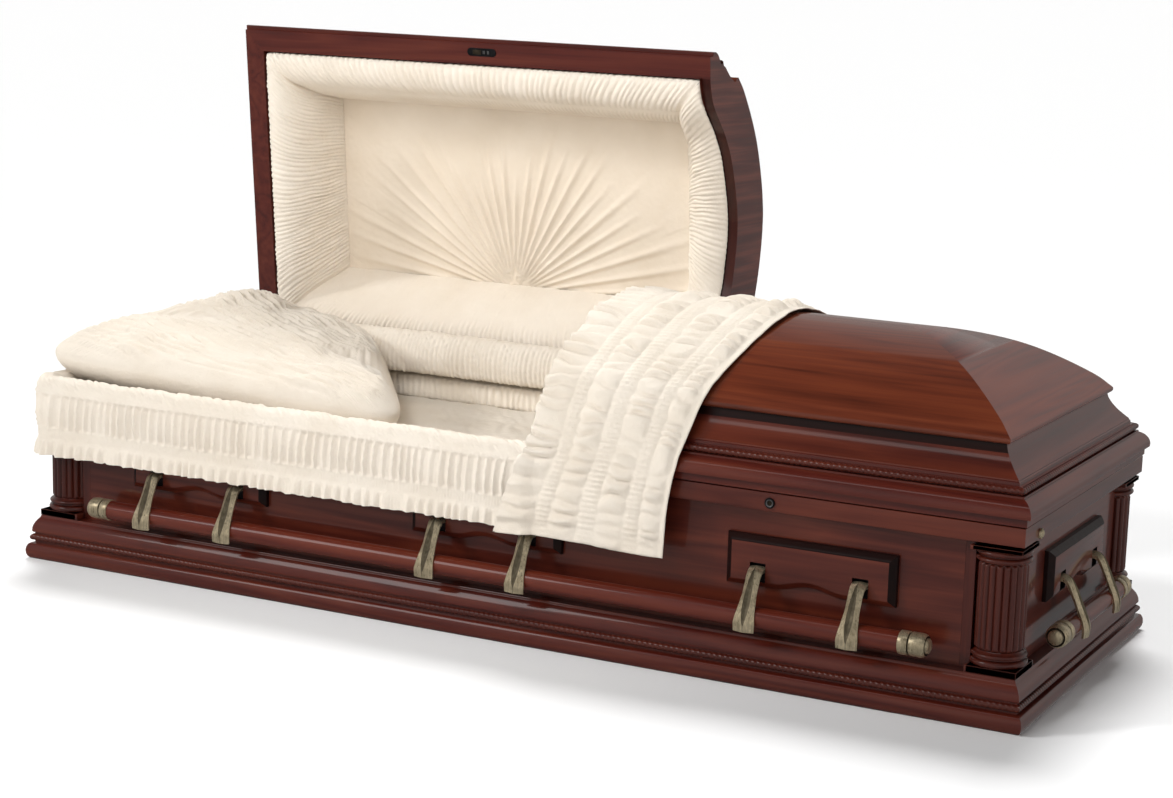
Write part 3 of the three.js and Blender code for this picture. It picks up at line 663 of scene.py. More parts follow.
def arm_mesh():
    b = Build()
    oc = catmull([(9, 211.5), (22, 213), (32, 208), (39.5, 197), (48.5, 178), (58, 157), (66.5, 138), (71.0, 122), (70.5, 106)], 5)
    oc = np.array(oc)
    d = np.concatenate([[0], np.cumsum(np.linalg.norm(np.diff(oc, axis=0), axis=1))]); d /= d[-1]
    n = 26
    s = np.linspace(0, 1, n)
    o = np.interp(s, d, oc[:, 0]); z = np.interp(s, d, oc[:, 1])
    tx, tz = np.gradient(o), np.gradient(z)
    ln = np.hypot(tx, tz); tx, tz = tx / ln, tz / ln
    nx, nz = -tz, tx            # outward normal in the (out, z) plane
    w = np.interp(s, [0, 0.10, 0.30, 0.5, 0.72, 0.88, 1.0], [14.4, 14.4, 13.4, 13.6, 17.0, 20.2, 19.6])
    thick = np.interp(s, [0, 0.1, 0.5, 1.0], [11, 12, 10, 8.5])
    leaf = w * 0.46 * np.sin(math.pi * np.clip((s - 0.13) / 0.80, 0, 1)) ** 0.85
    leaf = np.maximum(leaf, 0.35)
    apex = smoothstep(0.0, 0.12, s)
    rows = []
    for i in range(n):
        e = (4.6 - 1.6 * smoothstep(0.5, 0.8, s[i])) * apex[i]       # drop of the side edges below the ridge
        c = 2.6 * np.sin(math.pi * np.clip((s[i] - 0.13) / 0.80, 0, 1)) ** 0.6
        cols = [(-w[i] + 1.6, -thick[i]), (-w[i], -e - 1.0), (-leaf[i], 0.0), (0.0, -c), (leaf[i], 0.0), (w[i], -e - 1.0), (w[i] - 1.6, -thick[i])]
        rows.append([(x, -(o[i] + nx[i] * h), z[i] + nz[i] * h) for x, h in cols])
    P = np.array(rows)
    b.grid(P[:, 0:2], 0); b.grid(P[:, 1:3], 0); b.grid(P[:, 2:5], 1); b.grid(P[:, 4:6], 0); b.grid(P[:, 5:7], 0)
    b.grid(P[:, [6, 0]], 0)
    k = len(P[0])
    b.add(P[0], [list(range(k))], 0)
    b.add(P[-1], [list(range(k))[::-1]], 0)
    ob = b.make("arm_tmp", [BRASS, PATINA], merge=0.01, angle=12)
    bm = bmesh.new(); bm.from_mesh(ob.data)
    bmesh.ops.recalc_face_normals(bm, faces=bm.faces)
    bm.to_mesh(ob.data); bm.free()
    me = ob.data
    bpy.data.objects.remove(ob)
    me.set_sharp_from_angle(angle=math.radians(14))
    return me


LEAF = metal("brass_leaf", light=(0.30, 0.25, 0.165), dark=(0.06, 0.048, 0.03), rough=0.36)
ARM = arm_mesh()
ARM.materials[1] = LEAF


def bar_piece(name, where, half, panel):
    b = Build()
    seg = 40
    th = np.linspace(0, 2 * math.pi, seg, endpoint=False)

    def lathe(prof, mat):
        p = np.array(prof, float)
        S, T = np.meshgrid(p[:, 0], th, indexing="ij")
        R = np.repeat(p[:, 1][:, None], seg, 1)
        P = np.stack([S, -(43 + 0 * R) + R * np.cos(T), BAR_Z + R * np.sin(T)], -1)
        b.grid(P, mat, cv=True)
    h = half
    lathe([(-(h - 52), 19.0), (0, 19.0), (h - 52, 19.0)], 0)
    for s in (-1, 1):
        cap = ([(h - 54, 18.5)] + [(h - 54, 20.2), (h - 53, 20.7), (h - 38, 20.7), (h - 37, 20.2), (h - 37, 18.2)])
        gap = [(h - 37, 18.2), (h - 34, 18.2)]
        cap2 = ([(h - 34, 18.2), (h - 34, 20.2), (h - 33, 20.7), (h - 16, 20.7)] + [(h - 12, 20.2), (h - 8.5, 18.8), (h - 6.5, 17.2)])
        ring = [(h - 6.5, 17.2), (h - 7.5, 15.2), (h - 6.5, 13.6)]
        end = [(h - 6.5, 13.6), (h - 3.5, 13.2), (h - 1.5, 10.5), (h - 0.6, 6.0), (h - 0.4, 0.0)]
        for prof, mat in ((cap, 1), (gap, 2), (cap2, 1), (ring, 2), (end, 1)):
            q = [(s * a, r) for a, r in prof]
            lathe(q if s > 0 else q, mat)
    ob = b.make(name, [WB if where in ("front", "back") else WBY, BRASS, PATINA], merge=0.005, angle=32, matrix=placing(where, 0, panel))
    bm = bmesh.new(); bm.from_mesh(ob.data)
    bmesh.ops.recalc_face_normals(bm, faces=bm.faces)
    bm.to_mesh(ob.data); bm.free()
    ob.data.set_sharp_from_angle(angle=math.radians(32))
    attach(ob, f"handle_{where}"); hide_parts(f"handle_bar_{where}")
    return ob


def scaled(M):
    m = M.copy()
    m.translation = m.translation * MM
    return m


for where, panel, centres, half in (("front", PY, (-PLATE_X, 0, PLATE_X), BAR_HALF), ("foot", PX, (0,), END_BAR_HALF),
                                    ("back", PY, (-PLATE_X, 0, PLATE_X), BAR_HALF), ("head", PX, (0,), END_BAR_HALF)):
    bar_piece(f"bar_{where}", where, half, panel)
    for i, c in enumerate(centres):
        tag = f"{where}_{i + 1}" if len(centres) > 1 else where
        me = PLATE.copy()
        if where in ("foot", "head"):
            me.materials[0] = WPY
        ob = bpy.data.objects.new(f"plate_{tag}", me)
        scene.collection.objects.link(ob)
        me.transform(scaled(placing(where, c, panel)))
        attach(ob, "casket_body"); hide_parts(f"handle_plate_{tag}")
        for s, side_name in ((-1, "left"), (1, "right")):
            am = ARM.copy()
            am.transform(scaled(placing(where, c, panel) @ Matrix.Translation((s * ARM_X, 0, 0))))
            a = bpy.data.objects.new(f"arm_{tag}_{side_name}", am)
            scene.collection.objects.link(a)
            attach(a, f"handle_{where}"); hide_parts(f"handle_arm_{tag}_{side_name}")


# ------------------------------------------------------------------ lock, end cap, latch plate
def turned(name, prof, mats, matrix, sides=48, hexa=None):
    b = Build()
    th = np.linspace(0, 2 * math.pi, sides, endpoint=False)
    for rows, mat in prof:
        p = np.array(rows, float)
        R, T = np.meshgrid(p[:, 0], th, indexing="ij")
        Z = np.repeat(p[:, 1][:, None], sides, 1)
        if hexa and mat == hexa:
            k = np.cos(math.pi / 6) / np.cos((T % (math.pi / 3)) - math.pi / 6)
            R = R * k
        P = np.stack([R * np.cos(T), R * np.sin(T), Z], -1)
        b.grid(P, mat, cv=True, flip=True)
    ob = b.make(name, mats, angle=35, matrix=matrix)
    return ob


front_face = Matrix.Translation((LOCK_X, -(WID + 41.3), LOCK_Z)) @ Matrix.Rotation(math.radians(90), 4, "X")
lock = turned("lock_bezel", [([(9.5, 0), (9.5, 1.8), (8.8, 2.8), (7.6, 3.0), (6.9, 2.4)], 0), ([(6.9, 2.4), (6.3, 2.2), (4.6, 1.6)], 1), ([(4.6, 1.6), (4.4, 0.2), (0.01, 0.2)], 2)],
              [BLACK, GREY, PATINA], front_face, hexa=2)
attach(lock, "casket_body"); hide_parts("lid_lock")
end_face = Matrix.Translation((LEN + 41.3, KNOB_Y, KNOB_Z)) @ Matrix.Rotation(math.radians(90), 4, "Y")
knob = turned("end_cap", [([(9.0, 0), (9.0, 2.5), (8.6, 3.6), (7.4, 4.6)], 0), ([(7.4, 4.6), (7.0, 4.2), (6.6, 4.4)], 1), ([(6.6, 4.4), (5.6, 5.6), (3.6, 6.5), (0.01, 6.9)], 0)],
              [BRASS, PATINA], end_face)
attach(knob, "casket_body"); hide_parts("end_knob")

b = Build()
lx0, lx1, ly0, ly1 = -466.0, -396.0, -349.0, -332.0
pts = []
for k in range(24):
    a = 2 * math.pi * k / 24
    cxx = (lx1 - 8.5) if math.cos(a) > 0 else (lx0 + 8.5)
    pts.append((cxx + 8.5 * math.cos(a), (ly0 + ly1) / 2 + 8.5 * math.sin(a)))
pts = np.array(pts)
top = np.c_[pts, np.full(24, 348.9)]
mid = np.c_[pts * 1.0, np.full(24, 348.0)]
ins = np.c_[(pts - [(lx0 + lx1) / 2, (ly0 + ly1) / 2]) * [0.96, 0.86] + [(lx0 + lx1) / 2, (ly0 + ly1) / 2], np.full(24, 347.8)]
b.grid(np.stack([top, mid, ins]), 0, cv=True)
b.add(ins, [list(range(24))], 0)
b.boxes((-452, -345.5, 347.4), (-432, -335.5, 348.0), 0.2, 1)
b.boxes((-428, -344.0, 347.15), (-422.5, -337, 348.0), 0.3, 2)
b.boxes((-417, -344.0, 347.15), (-412.5, -337, 348.0), 0.3, 2)
latch = b.make("latch_plate", [BLACK, PATINA, GREY], angle=30, matrix=LID)
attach(latch, "head_lid_body"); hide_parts("lid_latch_plate")

# ------------------------------------------------------------------ carried-over boards
for n, m in (("side_board_front", WPX), ("side_board_back", WPX), ("end_board_head", WPY), ("end_board_foot", WPY), ("floor_board", WI),
             ("corner_post_head_front", WZ), ("corner_post_head_back", WZ), ("corner_post_foot_front", WZ), ("corner_post_foot_back", WZ),
             ("hinge_head", BRASS), ("hinge_foot", BRASS)):
    ob = N[n]
    ob.data.materials.clear()
    ob.data.materials.append(m)

# ------------------------------------------------------------------ soft goods
def ridges(s, period, warp, warp_len, seed, sharp=0.6, row=0.0):
    ph = s / period + warp * noise2(s / warp_len, row, seed)
    return np.abs(np.sin(math.pi * ph)) ** sharp


def sheet_piece(name, P, mats, matrix=None, thick=1.2, mat=0, flip=False):
    b = Build()
    b.grid(P, mat, flip=flip)
    ob = b.make(name, mats, angle=None, matrix=matrix)
    if not thick:
        return ob
    sol = ob.modifiers.new("cloth_thickness", "SOLIDIFY")
    sol.thickness = thick * MM
    sol.offset = -1.0
    dg = bpy.context.evaluated_depsgraph_get()
    me = bpy.data.meshes.new_from_object(ob.evaluated_get(dg))
    ob.modifiers.clear()
    ob.data = me
    me.name = name
    return ob


# --- skirt over the front rim, carried round the corner onto the head end
sk_path = catmull([(-2, 351), (3, 361), (13, 369), (26, 373.2), (39, 374.2), (49, 370.5), (54.5, 362), (56.6, 354), (57, 346), (59, 338),
                   (60, 320), (60, 300), (58.6, 285), (57, 272), (56.2, 262), (56.4, 250), (58.5, 240), (60.5, 228), (61.5, 219)], 6)
q, vlen = resample(sk_path, 2.9)
so, sz = q[:, 0], q[:, 1]
front_x = np.linspace(96, -984, 500)
arc_a = np.radians(np.linspace(0, 90, 44))[1:]
end_y = np.linspace(-306, -130, 70)[1:]
rows, S = [], []
for x in front_x:
    rows.append(np.stack([np.full(len(so), x), -(WID + so), sz], 1)); S.append(96 - x)
for a in arc_a:
    r = so + 10 + 5.5 * math.sin(2 * a)
    rows.append(np.stack([-984 - r * math.sin(a), -306 - r * math.cos(a), sz], 1)); S.append(1080 + a * 62)
for y in end_y:
    rows.append(np.stack([-(LEN + so), np.full(len(so), y), sz], 1)); S.append(1080 + math.pi / 2 * 62 + (y + 306))
P = np.array(rows)
S = np.array(S)[:, None]
Zg, Og = sz[None, :], so[None, :]
Nn = -normals_of(P)
outer = (Og > 50) & (Zg < 352)
flute = band(Zg, 274, 341, 3.5) * outer
lean = S + 0.10 * (Zg - 300) + 3.0 * noise2(S / 45.0, Zg / 60.0, 5)
h = flute * (8.2 * ridges(lean, 19.0, 0.55, 70.0, 11, 0.62) - 3.2) * (0.8 + 0.35 * noise2(S / 33.0, Zg / 90.0, 3))
h = h + flute * 1.3 * ridges(lean + 4, 7.3, 0.4, 30.0, 17, 0.8)
gather = band(Zg, 251, 272, 2.0) * outer
h = h + gather * (2.3 * ridges(S + 0.1 * Zg, 6.2, 0.25, 40.0, 21, 0.8) + 0.5 * np.abs(np.sin(math.pi * (Zg - 251) / 5.2)))
ruff = (1 - smoothstep(238, 252, Zg)) * outer
h = h + ruff * (4.2 * np.sin(2 * math.pi * (S / 24.0 + 0.7 * noise2(S / 60.0, 0, 31))) * (0.45 + 0.55 * (252 - Zg) / 33.0) + 1.6 * ridges(S, 7.5, 0.5, 25.0, 33, 0.7))
stitch = np.exp(-((Zg - 345.0) / 3.4) ** 2)
h = h - outer * stitch * (3.6 - 1.8 * np.abs(np.sin(math.pi * S / 8.6)))
top = (1 - outer.astype(float)) * smoothstep(352, 362, Zg)
h = h + top * (2.5 * noise2((S + 1.2 * vlen[None, :]) / 6.0, vlen[None, :] / 26.0, 41) + 1.4 * noise2(S / 30.0, vlen[None, :] / 24.0, 43))
P = P + Nn * h[..., None]
P[..., 2] += ruff * (2.2 * noise2(S / 11.0, 0 * Zg, 51) + 1.6 * noise2(S / 37.0, 0 * Zg, 53)) * (252 - Zg) / 33.0
skirt = sheet_piece("skirt_cloth", P, [CREPE], flip=True, thick=0)
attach(skirt, "casket_body"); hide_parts("skirt")

# --- throw over the foot lid
dr = catmull([(62, 212), (62.5, 240), (62.8, 280), (62, 330), (60.5, 362), (56, 386), (46, 407), (31, 430), (16, 452), (3, 474), (-9, 492), (-24, 505),
              (-60, 528), (-98, 550), (-153, 577), (-209, 596), (-262, 608.5), (-300, 612.5), (-316, 613.5)], 10)
front = np.array([(-(WID + o), z) for o, z in dr])
back = np.array([((WID + o), z) for o, z in dr])[::-1]
back = back[(back[:, 0] > 0.5) & (back[:, 1] > 486)]
full = np.concatenate([front, back])
q, vl = resample(full, 3.1)
ty, tz = q[:, 0], q[:, 1]
fside = ty < -250
zf = np.where(fside, tz, 700)
left = np.interp(zf, [212, 269, 330, 366, 385, 400, 700], [46, 60, 84, 100, 104.5, 105.6, 105.6])
right = np.interp(np.where(ty < 0, tz, 700), [212, 270, 317, 400, 465, 514, 563, 599, 613], [383, 386, 391, 406, 415, 427, 444, 455, 457])
U = np.linspace(0, 1, 108)
Ug, Vg = np.meshgrid(U, vl, indexing="ij")
X = left[None, :] * (1 - Ug) + right[None, :] * Ug
P = np.stack([X, np.repeat(ty[None, :], len(U), 0), np.repeat(tz[None, :], len(U), 0)], -1)
over_skirt = (1 - smoothstep(96, 125, X)) * (1 - smoothstep(350, 372, P[..., 2])) * (P[..., 1] < -300)
P[..., 1] -= 9.5 * over_skirt
Nn = normals_of(P)
Nn *= np.sign((Nn * np.array([0, -1, 0.6])).sum(-1, keepdims=True) * np.where(P[..., 1:2] < -60, 1, np.where(Nn[..., 2:3] * 1.0 == 0, 1, 1)))
up = np.sign(Nn[..., 2:3]); flipme = (P[..., 1:2] > -60) & (up < 0)
Nn = np.where(flipme, -Nn, Nn)
h = np.zeros_like(X)
wander = 0.012 * noise2(Vg / 90.0, 0, 61)
uu = Ug + wander
cols = [(0.00, 0.205), (0.295, 0.465), (0.575, 0.745), (0.835, 0.955)]
for k, (a, c) in enumerate(cols):
    w = np.clip((uu - a) / (c - a), 0, 1)
    inside = (uu > a) & (uu < c)
    win = np.where(k == 0, np.clip(np.sin(math.pi * (0.42 + 0.58 * w)), 0, 1), np.sin(math.pi * w)) ** 0.55 * inside
    ph = Vg / 26.0 + 0.85 * noise2(Vg / 48.0, k * 7.3, 71 + k) + 0.32 * noise2(uu * 9, Vg / 23.0, 81 + k) + 0.18 * (w - 0.5)
    rid = np.abs(np.sin(math.pi * ph)) ** 0.85
    vary = 0.85 + 0.5 * noise2(Vg / 27.0, k * 3.1 + uu * 3, 91 + k)
    h += win * (12.5 * rid * vary)
for k, (a, c) in enumerate([(0.205, 0.295), (0.465, 0.575), (0.745, 0.835)]):
    w = np.clip((uu - a) / (c - a), 0, 1)
    inside = (uu > a) & (uu < c)
    h += inside * np.sin(math.pi * w) ** 0.35 * (4.6 * np.abs(np.sin(math.pi * (Vg / 9.4 + 0.3 * noise2(Vg / 30.0, k, 101)))) ** 0.8 + 0.8 * np.abs(np.cos(3 * math.pi * w)))
hem_r = smoothstep(0.955, 0.965, Ug)
h = h * (1 - hem_r) + hem_r * (0.8 - 1.5 * np.exp(-((Ug - 0.972) / 0.0035) ** 2) * (0.4 + 0.6 * np.abs(np.sin(math.pi * Vg / 4.0))) + 1.2 * noise2(Vg / 18.0, Ug * 4, 111))
low = 1 - smoothstep(20, 34, Vg)
h = h * (1 - 0.65 * low) + low * 1.2 * noise2(Ug * 26, Vg / 16.0, 121)
h = h + 2.2 * noise2(X / 90.0, Vg / 110.0, 131) * smoothstep(0, 60, Vg) * 0.6
h = np.maximum(h, -0.8)
P = P + Nn * h[..., None]
edge = (1 - smoothstep(0.0, 0.05, Ug))
P[..., 0] -= edge * (2.0 * np.abs(np.sin(math.pi * (Vg / 26.0 + 0.85 * noise2(Vg / 48.0, 0, 71)))) ** 0.7) * (1 - smoothstep(360, 372, P[..., 2]))
P[..., 2] += (1 - smoothstep(0, 40, Vg)) * (3.0 * noise2(Ug * 4.0, 0.3, 141) - 2.0 * Ug)
throw = sheet_piece("throw_cloth", P, [CREPE], flip=False, thick=1.5)
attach(throw, "foot_lid_body"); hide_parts("throw")

# --- lid lining, in closed coordinates, then turned open with the lid
OUT = [(-987, -309), (80, -309), (80, 308), (-987, 308)]
INN = [(-893, -199), (-17, -199), (-17, 189), (-893, 189)]


def lining_side(k, sect, ns, shape, nt=46, arched=False):
    a, c = np.array(OUT[k]), np.array(OUT[(k + 1) % 4])
    ia, ic = np.array(INN[k]), np.array(INN[(k + 1) % 4])
    sc = np.array(catmull(sect, 8))
    d = np.concatenate([[0], np.cumsum(np.hypot(np.diff(sc[:, 0] * 100), np.diff(sc[:, 1])))])
    s = np.linspace(0, d[-1], nt)
    fr, z = np.interp(s, d, sc[:, 0]), np.interp(s, d, sc[:, 1])
    T = np.linspace(0, 1, ns)
    O = a[None, :] + (c - a)[None, :] * T[:, None]
    I = ia[None, :] + (ic - ia)[None, :] * T[:, None]
    XY = O[:, None, :] * (1 - fr)[None, :, None] + I[:, None, :] * fr[None, :, None]
    Zs = np.repeat(z[None, :], ns, 0)
    if arched:
        aw = np.array(arch)
        zo = np.interp(np.abs(XY[:, 0, 1]), (WID + aw[:, 0])[::-1], aw[::-1, 1]) - 1.0
        mm = (smoothstep(0.0, 0.16, T) * smoothstep(0.0, 0.16, 1 - T))[:, None]
        Za = zo[:, None] + (498.0 - zo[:, None]) * fr[None, :] - 26.0 * np.sin(math.pi * fr[None, :]) ** 0.8
        Zs = Zs * (1 - mm) + Za * mm
    if k == 2:
        s0 = np.array(catmull(CORNER_SECT, 8))
        m2 = (smoothstep(0.0, 0.09, T) * smoothstep(0.0, 0.09, 1 - T))[:, None]
        Zs = Zs * m2 + np.interp(fr, s0[:, 0], s0[:, 1])[None, :] * (1 - m2)
    P = np.concatenate([XY, Zs[..., None]], -1)
    Nn = normals_of(P)
    Nn *= np.sign(-Nn[..., 2:3] + 1e-9)
    L = np.linalg.norm(c - a)
    Sg = (T * L)[:, None] + 0 * s[None, :]
    Vg = np.repeat(s[None, :], ns, 0)
    h = shape(Sg, Vg / d[-1], L)
    soft = smoothstep(0, 14, Sg) * smoothstep(0, 14, L - Sg)
    return P + Nn * (h * (0.25 + 0.75 * soft))[..., None]


sect = [(0.0, 366), (0.01, 355), (0.06, 350.5), (0.18, 349.5), (0.34, 353), (0.48, 362), (0.60, 378), (0.71, 400), (0.81, 430), (0.90, 465), (0.97, 488), (1.0, 498)]


def top_shape(S, t, L):
    up = 1 - smoothstep(0.40, 0.46, t)
    dn = smoothstep(0.46, 0.52, t)
    h = up * (5.0 * ridges(S + 6 * noise2(S / 30, t * 3, 5), 15.5, 0.5, 60, 201, 0.6) * np.sin(math.pi * np.clip(t / 0.44, 0, 1)) ** 0.5 + 1.3 * ridges(S, 5.5, 0.4, 30, 203, 0.8))
    h = h + dn * (4.2 * ridges(S + 55 * (t - 0.5), 11.5, 0.5, 45, 207, 0.7) * np.sin(math.pi * np.clip((t - 0.48) / 0.52, 0, 1)) ** 0.5)
    h = h - 1.6 * np.exp(-((t - 0.455) / 0.012) ** 2)
    return h


def side_shape(S, t, L):
    sag = 7.0 * np.sin(math.pi * np.clip(t, 0, 1) * 1.3)
    h = 6.2 * ridges(S + sag + 3.5 * noise2(S / 28, t * 4, 7), 12.0, 0.55, 50, 211, 0.65) * np.sin(math.pi * np.clip(t * 0.96 + 0.02, 0, 1)) ** 0.4
    h = h * (0.75 + 0.4 * noise2(S / 22, t * 5, 217)) + 1.2 * ridges(S + sag, 5.0, 0.5, 22, 219, 0.8)
    return h


CORNER_SECT = sect
b = Build()
b.grid(lining_side(0, sect, 420, top_shape), 0)
b.grid(lining_side(1, sect, 250, side_shape, arched=True), 0)
b.grid(lining_side(3, sect, 250, side_shape), 0)
border = b.make("lid_border_cloth", [CREPE_L], angle=None, matrix=LID)
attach(border, "head_lid_body"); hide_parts("lid_border")

roll_sect = [(0.0, 388), (0.015, 372), (0.06, 361), (0.14, 356), (0.24, 356), (0.36, 362), (0.48, 374), (0.60, 391), (0.71, 411), (0.82, 436), (0.92, 466), (1.0, 497)]


def roll_shape(S, t, L):
    g = 1 - smoothstep(0.22, 0.42, t)
    h = g * 4.6 * ridges(S, 13.0, 0.5, 50, 221, 0.65) * smoothstep(0.0, 0.06, t)
    return h + 0.5 * noise2(S / 5.0, t * 12, 223) * (1 - g) + 1.2 * noise2(S / 60.0, t * 3, 227)


b = Build()
b.grid(lining_side(2, roll_sect, 380, roll_shape, nt=50), 0)
lroll = b.make("lid_roll_cloth", [CREPE_L], angle=None, matrix=LID)
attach(lroll, "head_lid_body"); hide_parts("lid_hinge_roll")

# pleated panel: rays from the middle of its lower edge
xs, ys = np.linspace(-896, -14, 320), np.linspace(-202, 192, 150)
Xg, Yg = np.meshgrid(xs, ys, indexing="ij")
dx, dy = Xg + 455.0, 212.0 - Yg
rr, aa = np.hypot(dx, dy), np.arctan2(dy, dx)
NR = 27
wig = 0.10 * noise2(aa * 5, 0 * aa, 231)
ph = aa / math.pi * NR + wig + 0.5
cell = np.floor(ph)
f = ph - cell
reach = 300 + 110 * _hash(cell, cell * 0 + 3, 233) * 0.6 + 120 * np.abs(np.cos(aa)) ** 2
fade = 1 - smoothstep(reach * 0.72, reach * 1.25, rr)
amp = np.minimum(rr / 55.0, 1.0) * 5.2
ridge = np.exp(-((f - 0.5) / 0.17) ** 2)
h = amp * fade * (ridge - 0.25) + 1.4 * noise2(rr / 120, aa * 8, 235) * fade
h = h + 0.35 * noise2(Xg / 9, Yg / 9, 237)
sagz = 8.0 * (1 - ((Xg + 455) / 441.0) ** 2) * (1 - ((Yg + 5) / 197.0) ** 2)
Zp = 498.0 - h * 1.0 - 0.35 * sagz
P = np.stack([Xg, Yg, Zp], -1)
panel = sheet_piece("lid_panel_cloth", P, [CREPE_P], matrix=LID, thick=0)
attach(panel, "head_lid_body"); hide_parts("lid_cap_panel")

# --- body lining: back roll
rb = catmull([(309, 366), (310, 392), (306, 415), (296, 429), (282, 433.5), (267, 428), (255, 414), (248.5, 396), (246.5, 376), (248.5, 360), (254, 350), (262, 345.5)], 6)
q, vl = resample(rb, 2.8)
xs = np.linspace(-974, 98, 460)
Xg, Vg = np.meshgrid(xs, vl, indexing="ij")
P = np.stack([Xg, np.repeat(q[None, :, 0], len(xs), 0), np.repeat(q[None, :, 1], len(xs), 0)], -1)
Nn = normals_of(P); Nn *= np.sign(-Nn[..., 1:2] + 0.8 * Nn[..., 2:3] + 1e-9)
tt = Vg / vl[-1]
h = 1.3 * noise2((Xg - Vg) / 6.0, Vg / 26.0, 241) + 1.5 * noise2(Xg / 42.0, Vg / 40.0, 243)
h = h + smoothstep(0.30, 0.65, tt) * 3.4 * ridges(Xg, 10.5, 0.5, 40, 247, 0.7)
gl = np.exp(-((tt - 0.86) / 0.05) ** 2)
h = h + gl * (1.0 * ridges(Xg, 4.6, 0.2, 40, 249, 0.8) - 1.8)
P = P + Nn * h[..., None]
P[0, :, :], P[-1, :, :] = P[1, :, :] - [2, 0, 0], P[-2, :, :] + [2, 0, 0]
back_roll = sheet_piece("back_roll_cloth", P, [CREPE_X], thick=0)
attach(back_roll, "casket_body"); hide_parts("lining_roll_back")

# --- body lining: shirred walls, front, head end and back
path = [(919, -287)] + [(-880, -287)] + [(-880 - 19 * math.sin(a), -268 - 19 * math.cos(a)) for a in np.linspace(0, math.pi / 2, 8)[1:]] \
    + [(-899, 262)] + [(-899 + 19 * (1 - math.cos(a)), 262 + 19 * math.sin(a)) for a in np.linspace(0, math.pi / 2, 8)[1:]] + [(919, 281)]
q, sl = resample(path, 3.2)
shown = (q[:, 0] < 140) | (np.arange(len(q)) % 2 == 0)       # coarser below the foot lid
q, sl = q[shown], sl[shown]
tan = np.gradient(q, axis=0); tan /= np.linalg.norm(tan, axis=1, keepdims=True)
inn = np.stack([tan[:, 1], -tan[:, 0]], 1)          # towards the inside
ctr = np.array([0.0, 0.0])
inn *= np.sign((inn * (ctr - q)).sum(1, keepdims=True) + 1e-9)
zz = np.concatenate([np.linspace(286, 338, 22), np.linspace(340, 347, 5)])
Sg, Zg = np.meshgrid(sl, zz, indexing="ij")
fl_ = band(Zg, 290, 338, 4)
h = 6.0 * fl_ * ridges(Sg + 3 * noise2(Sg / 30, Zg / 30, 251), 15.0, 0.5, 60, 253, 0.6) + 0.8 * ridges(Sg, 5.5, 0.4, 30, 255, 0.8)
h = h - 12.0 * smoothstep(338, 347, Zg)
P = np.stack([q[:, 0][:, None] + inn[:, 0][:, None] * h, q[:, 1][:, None] + inn[:, 1][:, None] * h, Zg], -1)
walls = sheet_piece("wall_cloth", P, [CREPE_LIT], thick=0)
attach(walls, "casket_body"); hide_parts("lining_walls")

# --- bed
xs, ys = np.concatenate([np.linspace(-896, 130, 200), np.linspace(146, 916, 50)]), np.linspace(-286, 279, 108)
Xg, Yg = np.meshgrid(xs, ys, indexing="ij")
ex = np.minimum(Xg + 896, 916 - Xg); ey = np.minimum(Yg + 286, 279 - Yg)
fall = 26 * (np.clip(1 - ex / 26, 0, 1) ** 2) + 26 * (np.clip(1 - ey / 26, 0, 1) ** 2)
Zb = 294.0 - fall * 0.8 + 1.6 * noise2(Xg / 60, Yg / 45, 261) + 1.6 * noise2((Xg + 0.6 * Yg) / 9.0, Yg / 34, 263) + 1.8 * np.abs(np.sin(math.pi * (Yg / 13.0 + 0.5 * noise2(Xg / 60, Yg / 40, 265))))
P = np.stack([Xg, Yg, Zb], -1)
b = Build()
b.grid(P, 0)
for line in (P[0], P[-1][::-1], P[:, 0][::-1], P[:, -1]):
    low_ = line.copy(); low_[:, 2] = 215
    b.grid(np.stack([line, low_]), 0, flip=False)
bed = b.make("bed_cloth", [CREPE_LIT], angle=None)
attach(bed, "casket_body"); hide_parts("mattress")

# --- pillow: plump, with a rounded edge, lying against the head end and the front rim
A, B_, C_, E_ = (np.array(p, float) for p in ((-1082, -340, 411), (-990, 288, 464), (-640, 264, 386), (-248, -224, 342)))
rr = np.concatenate([np.linspace(0, 0.9, 104), 0.9 + 0.1 * np.sin(np.linspace(0, math.pi / 2, 22))[1:]])
th = np.linspace(0, 2 * math.pi, 592, endpoint=False)
Rg, Tg = np.meshgrid(rr, th, indexing="ij")
cs, sn = np.cos(Tg), np.sin(Tg)
NP = 2.0 + 4.2 * Rg
Ug, Vg = Rg * np.sign(cs) * np.abs(cs) ** (2 / NP), Rg * np.sign(sn) * np.abs(sn) ** (2 / NP)
a_, c_ = (Ug + 1) / 2, (Vg + 1) / 2
base_p = (A * ((1 - a_) * (1 - c_))[..., None] + E_ * (a_ * (1 - c_))[..., None]
          + B_ * ((1 - a_) * c_)[..., None] + C_ * (a_ * c_)[..., None])
umm, vmm = a_ * 700, c_ * 560
prof = np.clip(1 - Rg ** 7.0, 0, 1) ** 0.5 * (1 - 0.16 * Rg ** 2)
lump = 6.0 * noise2(umm / 150, vmm / 120, 281)
rip = 11.5 * ridges(vmm + 0.30 * umm + 13 * noise2(umm / 80, vmm / 45, 273), 20.0, 0.5, 60, 275, 0.8) * (0.5 + 0.6 * np.clip(0.6 + noise2(umm / 60, vmm / 30, 277), 0, 1.1))
fine_r = 1.7 * ridges(vmm + 0.34 * umm + 4 * noise2(umm / 30, vmm / 30, 283), 6.4, 0.4, 30, 279, 0.8)
cross = 1.5 * noise2(umm / 12.0, vmm / 22.0, 285)
edge_g = np.exp(-((Rg - 0.93) / 0.07) ** 2) * 2.6 * ridges(Tg * 330, 12.0, 0.5, 40, 287, 0.7)
hh = (rip + fine_r + cross) * np.clip(prof * 1.7, 0, 1) * (1 - smoothstep(0.86, 0.99, Rg)) + edge_g * np.clip(prof * 2, 0, 1)
